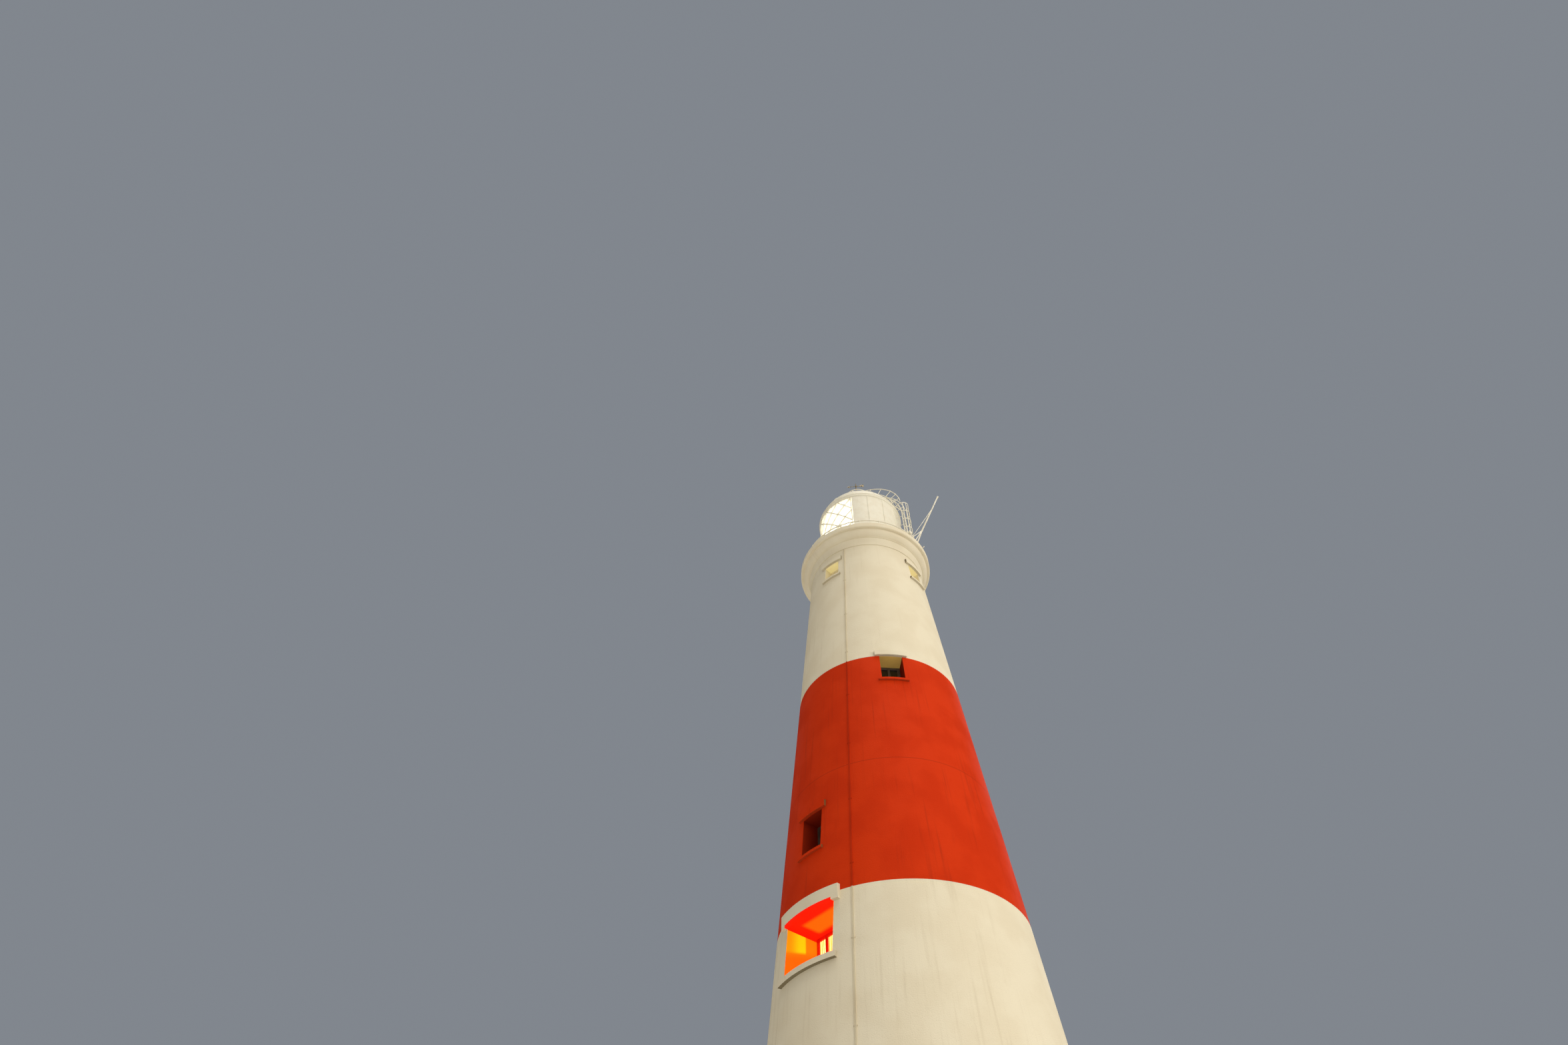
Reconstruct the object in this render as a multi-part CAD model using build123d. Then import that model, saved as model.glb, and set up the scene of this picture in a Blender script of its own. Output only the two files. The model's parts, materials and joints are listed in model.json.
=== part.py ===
from build123d import *
import os
from dataclasses import dataclass
from math import asin, atan2, cos, degrees, hypot, radians, sin, sqrt

# A round masonry lighthouse as a half-size model: a tapering white tower with a red band,
# a coved gallery cornice, and a lantern with a caged ladder that climbs over its domed roof.
# Sizes are millimetres of the model. The origin is the centre of the base on the ground, +Z up.
# A bearing is in degrees round the tower: 0 faces -Y, 90 faces +X.
TURN = 360.0
QUARTER = 90.0
QUARTERS = {
    "front_right": 0 * QUARTER,
    "back_right": 1 * QUARTER,
    "back_left": 2 * QUARTER,
    "front_left": 3 * QUARTER,
}

# Tower shaft: one straight cone outside, with walls that thin towards the top
BASE_R = 2594.0
NECK_R = 1285.0
SHAFT_HEIGHT = 16130.0
BAND_FOOT = 7530.0
BAND_HEIGHT = 4790.0
BAND_HEAD = BAND_FOOT + BAND_HEIGHT
WALL_AT_GROUND = 1264.0
WALL_AT_BAND_HEAD = 366.0
WALL_AT_NECK = 285.0
PLINTH_REACH = 45.0
PLINTH_HEIGHT = 260.0

# Low-light window: a wide opening in a deep reveal, glazed with tall narrow lights
LOW_LIGHT_BEARING = -42.75
LOW_LIGHT_WIDTH = 1030.0
LOW_LIGHT_HEIGHT = 775.0
LOW_LIGHT_DROP = 105.0
LOW_LIGHT_SETBACK = 600.0
LOW_LIGHT_LIGHTS = 5
LOW_LIGHT_HOOD_DROP = 35.0
LOW_LIGHT_HOOD_DEPTH = 235.0
LOW_LIGHT_HOOD_LAP = 107.0
LOW_LIGHT_SILL_DROP = 20.0
LOW_LIGHT_SILL_DEPTH = 95.0
LOW_LIGHT_SILL_LAP = 80.0
LOW_LIGHT_MOULD_REACH = 60.0
LOW_LIGHT_HEAD = BAND_FOOT - LOW_LIGHT_DROP
LOW_LIGHT_FOOT = LOW_LIGHT_HEAD - LOW_LIGHT_HEIGHT

# Stair windows, one low and one high on the near side, and their repeats on the far side
STAIR_LOW_BEARING = -42.8
STAIR_LOW_WIDTH = 458.0
STAIR_LOW_RISE = 920.0
STAIR_LOW_HEIGHT = 675.0
STAIR_HIGH_BEARING = 11.65
STAIR_HIGH_WIDTH = 436.0
STAIR_HIGH_HEIGHT = 590.0
STAIR_SETBACK = 330.0
STAIR_LIGHTS = 2
STAIR_LOW_FOOT = BAND_FOOT + STAIR_LOW_RISE
STAIR_HIGH_FOOT = BAND_HEAD - STAIR_HIGH_HEIGHT

# Watch-room windows, four of them, a quarter turn apart below the cornice
WATCH_BEARING = -33.5
WATCH_WIDTH = 371.0
WATCH_HEIGHT = 455.0
WATCH_DROP = 360.0
WATCH_SETBACK = 200.0
WATCH_LIGHTS = 2
WATCH_FOOT = SHAFT_HEIGHT - WATCH_DROP - WATCH_HEIGHT

# Hoods and sills of the small windows
HOOD_RISE = 30.0
HOOD_DEPTH = 70.0
HOOD_LAP = 85.0
SILL_DROP = 20.0
SILL_DEPTH = 60.0
SILL_LAP = 55.0
WEATHERING = 18.0
MOULD_REACH = 45.0

# Window frames and their panes
FRAME_DEPTH = 50.0
FRAME_BORDER = 48.0
FRAME_BAR = 34.0
PANE_DEPTH = 12.0

# Floors, each carried on a corbel course of the wall, and the bed that pieces lie in
FLOOR_DEPTH = 150.0
LOW_LIGHT_BREAST = 450.0
WATCH_BREAST = 515.0
CORBEL_REACH = 70.0
CORBEL_DEPTH = 130.0
BED = 0.4
ENTRANCE_FLOOR_TOP = FLOOR_DEPTH
LOW_LIGHT_FLOOR_TOP = LOW_LIGHT_FOOT - LOW_LIGHT_BREAST
WATCH_FLOOR_TOP = WATCH_FOOT - WATCH_BREAST

# Entrance doorway, opposite the low-light window
DOOR_BEARING = LOW_LIGHT_BEARING + TURN / 2
DOOR_WIDTH = 560.0
DOOR_HEIGHT = 1130.0
DOOR_SETBACK = 300.0
DOOR_FRAME_BORDER = 50.0
DOOR_FRAME_DEPTH = 80.0
DOOR_LEAF_DEPTH = 30.0
DOOR_RAIL = 75.0
DOOR_PANEL_SINK = 10.0
DOOR_GAP = 0.4
DOOR_HEAD = ENTRANCE_FLOOR_TOP + DOOR_HEIGHT

# Lightning conductor: a boxed strip from the cornice to the plinth
CONDUCTOR_BEARING = -18.9
CONDUCTOR_WIDTH = 26.0
CONDUCTOR_DEPTH = 12.0

# Gallery: a frieze, a cove, a drip groove and a fascia that rises as a kerb round the deck
FRIEZE_STEP = 14.0
FRIEZE_HEIGHT = 205.0
FRIEZE_FLARE = 55.0
COVE_FILLET = 14.0
COVE_HEIGHT = 146.0
COVE_REACH = 111.0
COVE_SAG = 26.0
GROOVE_DEPTH = 16.0
FASCIA_REACH = 70.0
FASCIA_HEIGHT = 123.0
KERB_WIDTH = 185.0
KERB_RISE = 200.0
KERB_ROUND = 12.0
DECK_DEPTH = 150.0
DECK_LEDGE = 150.0
FRIEZE_HEAD_R = NECK_R + FRIEZE_FLARE
FRIEZE_HEAD_Z = SHAFT_HEIGHT + FRIEZE_HEIGHT
COVE_HEAD_R = FRIEZE_HEAD_R + COVE_FILLET + COVE_REACH
COVE_HEAD_Z = FRIEZE_HEAD_Z + COVE_FILLET + COVE_HEIGHT
FASCIA_R = COVE_HEAD_R + FASCIA_REACH
FASCIA_FOOT = COVE_HEAD_Z + 2 * GROOVE_DEPTH
KERB_TOP = FASCIA_FOOT + FASCIA_HEIGHT
KERB_INNER_R = FASCIA_R - KERB_WIDTH
DECK_TOP = KERB_TOP - KERB_RISE
DECK_SLAB_R = KERB_INNER_R - DECK_LEDGE

# Gallery rail on the kerb
RAIL_INSET = 105.0
RAIL_HEIGHT = 225.0
RAIL_ROD = 14.0
POST_ROD = 11.0
POST_COUNT = 20
RAIL_R = FASCIA_R - RAIL_INSET
RAIL_LEVEL = KERB_TOP + RAIL_HEIGHT - RAIL_ROD

# Lantern: a low iron wall, glazing to seaward and blank plates to landward
LANTERN_R = 1045.0
MURETTE_HEIGHT = 550.0
MURETTE_WALL = 60.0
MURETTE_CAP_REACH = 16.0
MURETTE_CAP_DEPTH = 45.0
GLAZING_SETBACK = 19.0
GLAZING_HEIGHT = 1450.0
BLANK_START = -8.0
BLANK_SWEEP = 180.0
PLATE_COUNT = 8
PLATE_DEPTH = 12.0
PLATE_SEAM_WIDTH = 36.0
PLATE_SEAM_DEPTH = 8.0
BAR_WIDTH = 24.0
BAR_DEPTH = 34.0
BAY_COUNT = 8
TIER_COUNT = 3
LANTERN_PANE_DEPTH = 10.0
PANE_SLACK = 0.4
GLAZING_R = LANTERN_R - GLAZING_SETBACK
MURETTE_TOP = DECK_TOP + MURETTE_HEIGHT
GLAZING_TOP = MURETTE_TOP + GLAZING_HEIGHT

# Lantern roof: a gutter ring, a domed shell and a ventilator with a vane
GUTTER_DEPTH = 100.0
GUTTER_WALL = 60.0
GUTTER_LIP = 22.0
DOME_RISE = 800.0
DOME_SKIN = 14.0
VENT_SEAT_R = 230.0
VENT_THROAT_R = 150.0
VENT_DRUM_R = 190.0
VENT_DRUM_HEIGHT = 375.0
VENT_COWL_R = 265.0
VENT_COWL_HEIGHT = 260.0
VENT_WALL = 14.0
VENT_BALL_R = 70.0
VANE_HEIGHT = 435.0
VANE_ROD = 12.0
VANE_BLADE_DEPTH = 10.0
VANE_TAIL_REACH = 210.0
VANE_TAIL_LENGTH = 140.0
VANE_TAIL_HEIGHT = 120.0
VANE_POINT_REACH = 240.0
VANE_POINT_LENGTH = 72.0
VANE_POINT_HEIGHT = 80.0
ROOF_FOOT = GLAZING_TOP + GUTTER_DEPTH
DOME_R = (LANTERN_R**2 + DOME_RISE**2) / (2 * DOME_RISE)
DOME_CENTRE = ROOF_FOOT + DOME_RISE - DOME_R
VENT_SEAT = DOME_CENTRE + sqrt(DOME_R**2 - VENT_SEAT_R**2)
VENT_DRUM_TOP = VENT_SEAT + VENT_DRUM_HEIGHT
VENT_COWL_TOP = VENT_DRUM_TOP + VENT_COWL_HEIGHT

# Ladder up the lantern and over the dome
LADDER_BEARING = 70.0
LADDER_STANDOFF = 141.0
LADDER_HALF_WIDTH = 127.0
LADDER_END_R = 400.0
STILE_ROD = 10.0
RUNG_ROD = 6.0
RUNG_PITCH = 150.0
WALL_STAY_DROP = 55.0
PLATE_STAY_RISES = (500.0, 1100.0)
ROOF_STAY_ANGLES = (32.0, 48.0, 64.0)
LADDER_R = LANTERN_R + LADDER_STANDOFF

# Safety cage round the upright ladder
CAGE_R = 140.0
CAGE_SIDE = 10.0
CAGE_RISE = 832.0
HOOP_COUNT = 5
HOOP_PITCH = 337.0
HOOP_HEIGHT = 22.0
HOOP_THICK = 7.0
STRAP_WIDTH = 16.0
STRAP_THICK = 7.0
STRAP_BITE = 0.25
STRAP_ANGLES = (-72.0, -36.0, 0.0, 36.0, 72.0)
CAGE_FOOT = DECK_TOP + CAGE_RISE
CAGE_BACK = LADDER_R + STILE_ROD + BED
CAGE_CENTRE = CAGE_BACK + CAGE_SIDE

# Handrails over the dome and the ring round the ventilator
HANDRAIL_ROD = 10.0
HANDRAIL_CLEARANCE = 3.0
HANDRAIL_ARC_R = 1205.0
HANDRAIL_ARC_RISE = 53.0
HANDRAIL_START_ANGLE = 6.0
MIDRAIL_DROP = 205.0
STANCHION_ROD = 8.0
STANCHION_ANGLES = (12.0, 23.0, 35.0, 52.0, 68.0)
VENT_RING_R = 325.0
VENT_RING_POSTS = 6
HANDRAIL_ACROSS = LADDER_HALF_WIDTH + STILE_ROD + HANDRAIL_CLEARANCE + STANCHION_ROD
HANDRAIL_CENTRE = ROOF_FOOT + HANDRAIL_ARC_RISE
VENT_RING_LEVEL = HANDRAIL_CENTRE + sqrt(HANDRAIL_ARC_R**2 - VENT_RING_R**2)

# Aerial mast: a tube that leans out from two legs on the kerb, with a strut and a thin stay
MAST_BEARING = 64.5
MAST_KNEE_REACH = 80.0
MAST_KNEE_RISE = 550.0
MAST_TIP_REACH = 642.0
MAST_TIP_RISE = 1520.0
MAST_ROD = 12.0
MAST_BALL_R = 26.0
MAST_CLAMP_R = 20.0
LEG_ROD = 8.0
LEG_INSET = 45.0
LEG_SPREAD = 2.75
STRUT_BEARING = 56.5
STAY_BEARING = 53.0
STAY_SHARE = 0.34
STAY_ROD = 4.0
KNOB_R = 13.0
KNOB_SHARES = (0.45, 0.8)

# Optic in the middle of the lantern, on a hollow pedestal
PEDESTAL_R = 200.0
PEDESTAL_FLANGE_R = 260.0
PEDESTAL_FLANGE_DEPTH = 30.0
PEDESTAL_WALL = 20.0
PEDESTAL_HEIGHT = 630.0
OPTIC_R = 430.0
OPTIC_HEIGHT = 1250.0
OPTIC_STEPS = 8
OPTIC_STEP_DEPTH = 24.0
OPTIC_WALL = 45.0
PEDESTAL_TOP = DECK_TOP + PEDESTAL_HEIGHT
OPTIC_TOP = PEDESTAL_TOP + OPTIC_HEIGHT


@dataclass(frozen=True)
class Strip:
    """A hood or sill: its levels, its lap past the opening's sides and its reach off the wall."""

    foot: float
    head: float
    lap: float
    reach: float


@dataclass(frozen=True)
class Window:
    """One opening through the wall, with the strips over and under it and its glazing."""

    bearing: float
    width: float
    foot: float
    head: float
    setback: float
    lights: int
    hood: Strip
    sill: Strip

    @property
    def plane(self):
        """Distance from the tower's axis to the outer face of the frame."""
        radius = outer_r((self.foot + self.head) / 2)
        return sqrt(radius**2 - (self.width / 2) ** 2) - self.setback


def common_hood(head):
    """The hood over a small opening."""
    return Strip(head + HOOD_RISE, head + HOOD_RISE + HOOD_DEPTH, HOOD_LAP, MOULD_REACH)


def small_window(bearing, width, foot, height, setback, lights):
    """A window with the tower's common hood and sill."""
    sill = Strip(foot - SILL_DROP - SILL_DEPTH, foot - SILL_DROP, SILL_LAP, MOULD_REACH)
    head = foot + height
    return Window(bearing, width, foot, head, setback, lights, common_hood(head), sill)


def low_light_window():
    """The wide window that shows the second light, with its own deep hood and sill."""
    hood_foot = LOW_LIGHT_HEAD - LOW_LIGHT_HOOD_DROP
    sill_head = LOW_LIGHT_FOOT - LOW_LIGHT_SILL_DROP
    hood = Strip(
        hood_foot, hood_foot + LOW_LIGHT_HOOD_DEPTH, LOW_LIGHT_HOOD_LAP, LOW_LIGHT_MOULD_REACH
    )
    sill = Strip(
        sill_head - LOW_LIGHT_SILL_DEPTH, sill_head, LOW_LIGHT_SILL_LAP, LOW_LIGHT_MOULD_REACH
    )
    return Window(
        LOW_LIGHT_BEARING, LOW_LIGHT_WIDTH, LOW_LIGHT_FOOT, LOW_LIGHT_HEAD,
        LOW_LIGHT_SETBACK, LOW_LIGHT_LIGHTS, hood, sill,
    )


def small_windows():
    """Two stair windows and their repeats, and the watch room's windows."""
    windows = []
    for turn in (0, TURN / 2):
        windows.append(small_window(
            STAIR_LOW_BEARING + turn, STAIR_LOW_WIDTH, STAIR_LOW_FOOT, STAIR_LOW_HEIGHT,
            STAIR_SETBACK, STAIR_LIGHTS,
        ))
        windows.append(small_window(
            STAIR_HIGH_BEARING + turn, STAIR_HIGH_WIDTH, STAIR_HIGH_FOOT, STAIR_HIGH_HEIGHT,
            STAIR_SETBACK, STAIR_LIGHTS,
        ))
    for start in QUARTERS.values():
        windows.append(small_window(
            WATCH_BEARING + start, WATCH_WIDTH, WATCH_FOOT, WATCH_HEIGHT,
            WATCH_SETBACK, WATCH_LIGHTS,
        ))
    return windows


def outer_r(z):
    """Radius of the shaft's outer face at a level."""
    return BASE_R + (NECK_R - BASE_R) * z / SHAFT_HEIGHT


def inner_r(z):
    """Radius of the shaft's inner face at a level."""
    if z <= BAND_HEAD:
        wall = WALL_AT_GROUND + (WALL_AT_BAND_HEAD - WALL_AT_GROUND) * z / BAND_HEAD
    else:
        share = (z - BAND_HEAD) / (SHAFT_HEIGHT - BAND_HEAD)
        wall = WALL_AT_BAND_HEAD + (WALL_AT_NECK - WALL_AT_BAND_HEAD) * share
    return outer_r(z) - wall


def place(bearing, radius, z, across=0.0):
    """The point at a bearing, a distance from the axis and a level, moved sideways if asked."""
    a = radians(bearing)
    return Vector(radius * sin(a) + across * cos(a), across * sin(a) - radius * cos(a), z)


def turned(edges, start=0.0, sweep=TURN):
    """A closed outline of (radius, level) edges turned about the tower's axis from a bearing."""
    face = make_face(Plane.XZ * edges)
    return Rot(0, 0, start - QUARTER) * revolve(face, Axis.Z, sweep)


def turned_points(points, start=0.0, sweep=TURN):
    """A polygon of (radius, level) points turned about the tower's axis from a bearing."""
    return turned(Polyline(*points, close=True), start, sweep)


def block(bearing, width, near, far, foot, head):
    """A square-cut block across a bearing, between two distances from the axis."""
    box = Box(width, far - near, head - foot)
    return Rot(0, 0, bearing) * Pos(0, -(near + far) / 2, (foot + head) / 2) * box


def rod(start, end, radius):
    """A round rod from one point to another."""
    axis = end - start
    return Plane(origin=start, z_dir=axis) * Cylinder(
        radius, axis.length, align=(Align.CENTER, Align.CENTER, Align.MIN)
    )


def ball(centre, radius):
    """A round knob."""
    return Pos(*centre) * Sphere(radius)


def ring_bar(radius, level, bar_radius):
    """An eight-sided bar bent to a ring round the tower's axis."""
    section = Plane.XZ * Pos(radius, level) * RegularPolygon(bar_radius, 8)
    return revolve(section, Axis.Z)


def joined(solids):
    """Pieces that are welded or cast into one."""
    first, *rest = solids
    return first.fuse(*rest) if rest else first


def stage_outline(foot, head, floor_top=None, plinth=False):
    """Outline of the wall over one painted stage, with its floor's corbel and the plinth."""
    if plinth:
        shoulder = PLINTH_HEIGHT + PLINTH_REACH
        points = [
            (outer_r(foot) + PLINTH_REACH, foot),
            (outer_r(PLINTH_HEIGHT) + PLINTH_REACH, PLINTH_HEIGHT),
            (outer_r(shoulder), shoulder),
        ]
    else:
        points = [(outer_r(foot), foot)]
    points += [(outer_r(head), head), (inner_r(head), head)]
    if floor_top is not None:
        seat = floor_top - FLOOR_DEPTH
        points += [
            (inner_r(seat), seat),
            (inner_r(seat) - CORBEL_REACH, seat),
            (inner_r(seat - CORBEL_DEPTH), seat - CORBEL_DEPTH),
        ]
    points.append((inner_r(foot), foot))
    return points


def window_cut(window):
    """The space of a window, right through the wall."""
    near = inner_r(window.head) / 2
    far = outer_r(window.foot) + window.sill.reach
    return block(window.bearing, window.width, near, far, window.foot, window.head)


def doorway_cut():
    """The space of the doorway, right through the wall."""
    near = inner_r(DOOR_HEAD) / 2
    far = BASE_R + 2 * PLINTH_REACH
    return block(DOOR_BEARING, DOOR_WIDTH, near, far, ENTRANCE_FLOOR_TOP, DOOR_HEAD)


def faces_quarter(bearing, start):
    """Whether a bearing lies in the quarter that begins at another."""
    return (bearing - start) % TURN < QUARTER


def wall_stage(name, foot, head, windows, floor_top=None, ground=False):
    """The four quarters of one stage of the wall, with its openings cut through."""
    outline = stage_outline(foot, head, floor_top, plinth=ground)
    quarters = {}
    for quarter, start in QUARTERS.items():
        wall = turned_points(outline, start, QUARTER)
        for window in windows:
            in_stage = window.foot < head and window.head > foot
            if in_stage and faces_quarter(window.bearing, start):
                wall -= window_cut(window)
        if ground and faces_quarter(DOOR_BEARING, start):
            wall -= doorway_cut()
        quarters[f"{name}_{quarter}"] = wall
    return quarters


def moulding(opening_width, bearing, strip):
    """A hood or sill: a strip that follows the wall's curve, with a weathered top."""
    radius = outer_r(strip.foot)
    half = degrees(asin(opening_width / 2 / radius) + strip.lap / radius)
    points = [
        (radius + BED, strip.foot),
        (radius + strip.reach, strip.foot),
        (radius + strip.reach, strip.head - WEATHERING),
        (outer_r(strip.head) + BED, strip.head),
    ]
    return turned_points(points, bearing - half, 2 * half)


def light_spans(window):
    """The sideways span of each light of a window's frame."""
    clear = window.width - 2 * FRAME_BORDER - (window.lights - 1) * FRAME_BAR
    width = clear / window.lights
    left = -window.width / 2 + FRAME_BORDER
    return [(left + i * (width + FRAME_BAR), width) for i in range(window.lights)]


def light_blocks(window, depth):
    """A block in each light of a window, of a depth and centred in the frame's depth."""
    middle = window.plane - FRAME_DEPTH / 2
    foot = window.foot + FRAME_BORDER
    head = window.head - FRAME_BORDER
    blocks = []
    for left, width in light_spans(window):
        centre = Pos(left + width / 2, -middle, (foot + head) / 2)
        blocks.append(Rot(0, 0, window.bearing) * centre * Box(width, depth, head - foot))
    return blocks


def window_frame(window):
    """The frame that fills a window's opening, with its lights cut out."""
    near = window.plane - FRAME_DEPTH
    frame = block(window.bearing, window.width, near, window.plane, window.foot, window.head)
    for light in light_blocks(window, 2 * FRAME_DEPTH):
        frame -= light
    return frame


def door_plane():
    """Distance from the tower's axis to the outer face of the door frame."""
    return sqrt(outer_r(DOOR_HEAD) ** 2 - (DOOR_WIDTH / 2) ** 2) - DOOR_SETBACK


def door_frame():
    """Two jambs and a head that line the doorway."""
    far = door_plane()
    near = far - DOOR_FRAME_DEPTH
    frame = block(DOOR_BEARING, DOOR_WIDTH, near, far, ENTRANCE_FLOOR_TOP, DOOR_HEAD)
    return frame - block(
        DOOR_BEARING, DOOR_WIDTH - 2 * DOOR_FRAME_BORDER, near - DOOR_FRAME_DEPTH,
        far + DOOR_FRAME_DEPTH, ENTRANCE_FLOOR_TOP - DOOR_FRAME_BORDER, DOOR_HEAD - DOOR_FRAME_BORDER,
    )


def door_leaf():
    """A closed door with a sunk panel above and below its middle rail."""
    foot = ENTRANCE_FLOOR_TOP
    head = DOOR_HEAD - DOOR_FRAME_BORDER - DOOR_GAP
    width = DOOR_WIDTH - 2 * (DOOR_FRAME_BORDER + DOOR_GAP)
    far = door_plane() - (DOOR_FRAME_DEPTH - DOOR_LEAF_DEPTH) / 2
    leaf = block(DOOR_BEARING, width, far - DOOR_LEAF_DEPTH, far, foot, head)
    middle = (foot + head) / 2
    for low, high in ((foot + DOOR_RAIL, middle - DOOR_RAIL / 2), (middle + DOOR_RAIL / 2, head - DOOR_RAIL)):
        leaf -= block(
            DOOR_BEARING, width - 2 * DOOR_RAIL, far - DOOR_PANEL_SINK, far + DOOR_PANEL_SINK, low, high
        )
    return leaf


def floor_disc(top, radius, depth):
    """A round floor slab."""
    return Pos(0, 0, top - depth / 2) * Cylinder(radius, depth)


def shaft_floor(top):
    """A floor that fills the shaft and lies on the wall's corbel."""
    return floor_disc(top, inner_r(top) - BED, FLOOR_DEPTH)


def conductor():
    """The boxed lightning conductor, which leans with the wall."""
    foot = PLINTH_HEIGHT + PLINTH_REACH
    points = [
        (outer_r(foot) + BED, foot),
        (outer_r(foot) + BED + CONDUCTOR_DEPTH, foot),
        (outer_r(SHAFT_HEIGHT) + BED + CONDUCTOR_DEPTH, SHAFT_HEIGHT),
        (outer_r(SHAFT_HEIGHT) + BED, SHAFT_HEIGHT),
    ]
    side = make_face(Plane.YZ * Polyline(*[(-r, z) for r, z in points], close=True))
    return Rot(0, 0, CONDUCTOR_BEARING) * extrude(side, CONDUCTOR_WIDTH / 2, both=True)


def cornice_edges():
    """Outline of the gallery's ring, from the neck up to the kerb and back inside."""
    shelf = DECK_TOP - DECK_DEPTH
    frieze_foot = (NECK_R + FRIEZE_STEP, SHAFT_HEIGHT)
    frieze_head = (FRIEZE_HEAD_R, FRIEZE_HEAD_Z)
    ledge = (FRIEZE_HEAD_R + COVE_FILLET, FRIEZE_HEAD_Z)
    cove_foot = (FRIEZE_HEAD_R + COVE_FILLET, FRIEZE_HEAD_Z + COVE_FILLET)
    cove_head = (COVE_HEAD_R, COVE_HEAD_Z)
    groove = (COVE_HEAD_R, COVE_HEAD_Z + GROOVE_DEPTH)
    inside = [
        (FASCIA_R - GROOVE_DEPTH, COVE_HEAD_Z + GROOVE_DEPTH),
        (FASCIA_R, FASCIA_FOOT),
        (FASCIA_R, KERB_TOP - KERB_ROUND),
        (FASCIA_R - KERB_ROUND, KERB_TOP),
        (KERB_INNER_R, KERB_TOP),
        (KERB_INNER_R, DECK_TOP),
        (DECK_SLAB_R, DECK_TOP),
        (DECK_SLAB_R, shelf),
        (inner_r(SHAFT_HEIGHT), shelf),
        (inner_r(SHAFT_HEIGHT), SHAFT_HEIGHT),
        frieze_foot,
    ]
    return (
        Polyline(frieze_foot, frieze_head, ledge, cove_foot)
        + SagittaArc(cove_foot, cove_head, -COVE_SAG)
        + Polyline(cove_head, groove, *inside)
    )


def cornice():
    """The four quarters of the gallery's ring."""
    edges = cornice_edges()
    return {f"cornice_{name}": turned(edges, start, QUARTER) for name, start in QUARTERS.items()}


def gallery_rail():
    """A round rail on short posts that stand on the kerb."""
    pieces = [ring_bar(RAIL_R, RAIL_LEVEL, RAIL_ROD)]
    for i in range(POST_COUNT):
        bearing = TURN * i / POST_COUNT
        foot = place(bearing, RAIL_R, KERB_TOP)
        pieces.append(rod(foot, place(bearing, RAIL_R, RAIL_LEVEL), POST_ROD))
    return joined(pieces)


def murette():
    """The lantern's low wall, with a cap that carries the glazing."""
    cap = MURETTE_TOP - MURETTE_CAP_DEPTH
    inner = LANTERN_R - MURETTE_WALL
    return turned_points([
        (inner, DECK_TOP),
        (LANTERN_R, DECK_TOP),
        (LANTERN_R, cap),
        (LANTERN_R + MURETTE_CAP_REACH, cap),
        (LANTERN_R + MURETTE_CAP_REACH, MURETTE_TOP),
        (inner, MURETTE_TOP),
    ])


def upright_ring(inner, outer, foot, head, start, sweep):
    """A ring of square section, or the part of one that a sweep covers."""
    return turned_points([(inner, foot), (outer, foot), (outer, head), (inner, head)], start, sweep)


def blank_plates():
    """Plates that close the landward half of the glazing, with a lap strip at each joint."""
    inner = GLAZING_R - PLATE_DEPTH
    lap_r = GLAZING_R + PLATE_SEAM_DEPTH
    half = degrees(PLATE_SEAM_WIDTH / 2 / GLAZING_R)
    pieces = [upright_ring(inner, GLAZING_R, MURETTE_TOP, GLAZING_TOP, BLANK_START, BLANK_SWEEP)]
    for i in range(1, PLATE_COUNT):
        bearing = BLANK_START + BLANK_SWEEP * i / PLATE_COUNT
        pieces.append(upright_ring(inner, lap_r, MURETTE_TOP, GLAZING_TOP, bearing - half, 2 * half))
    return joined(pieces)


def glazing_bar(start, end):
    """A straight bar of the lattice from one crossing to the next, its depth pointing outwards."""
    middle = (start + end) / 2
    plane = Plane(origin=start, x_dir=Vector(middle.X, middle.Y, 0), z_dir=end - start)
    length = (end - start).length
    return plane * Box(BAR_DEPTH, BAR_WIDTH, length, align=(Align.CENTER, Align.CENTER, Align.MIN))


def glazing_bars():
    """The diamond lattice of the lantern's seaward half, framed by end bars and rings."""
    radius = GLAZING_R - BAR_DEPTH / 2
    inner = GLAZING_R - BAR_DEPTH
    half = degrees(BAR_WIDTH / 2 / GLAZING_R)
    start = BLANK_START + BLANK_SWEEP
    sweep = TURN - BLANK_SWEEP
    bay = sweep / BAY_COUNT
    tier = GLAZING_HEIGHT / TIER_COUNT
    bars = []
    for i in range(BAY_COUNT):
        for j in range(TIER_COUNT):
            middle = start + (i + 0.5) * bay
            level = MURETTE_TOP + (j + 0.5) * tier
            crossing = place(middle, radius, level)
            for side in (-0.5, 0.5):
                for end in (-0.5, 0.5):
                    corner = place(middle + side * bay, radius, level + end * tier)
                    bars.append(glazing_bar(crossing, corner))
    shell = upright_ring(inner, GLAZING_R, MURETTE_TOP, GLAZING_TOP, start + half, sweep - 2 * half)
    frame = []
    for bearing in (start + half, start + sweep - 3 * half):
        frame.append(upright_ring(inner, GLAZING_R, MURETTE_TOP, GLAZING_TOP, bearing, 2 * half))
    for z in (MURETTE_TOP, GLAZING_TOP - BAR_WIDTH):
        frame.append(upright_ring(inner, GLAZING_R, z, z + BAR_WIDTH, start + half, sweep - 2 * half))
    return joined([joined(bars) & shell] + frame)


def lantern_glass():
    """The curved glass behind the lattice."""
    outer = GLAZING_R - BAR_DEPTH - PANE_SLACK
    inner = outer - LANTERN_PANE_DEPTH
    start = BLANK_START + BLANK_SWEEP
    return upright_ring(inner, outer, MURETTE_TOP, GLAZING_TOP, start, TURN - BLANK_SWEEP)


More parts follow.
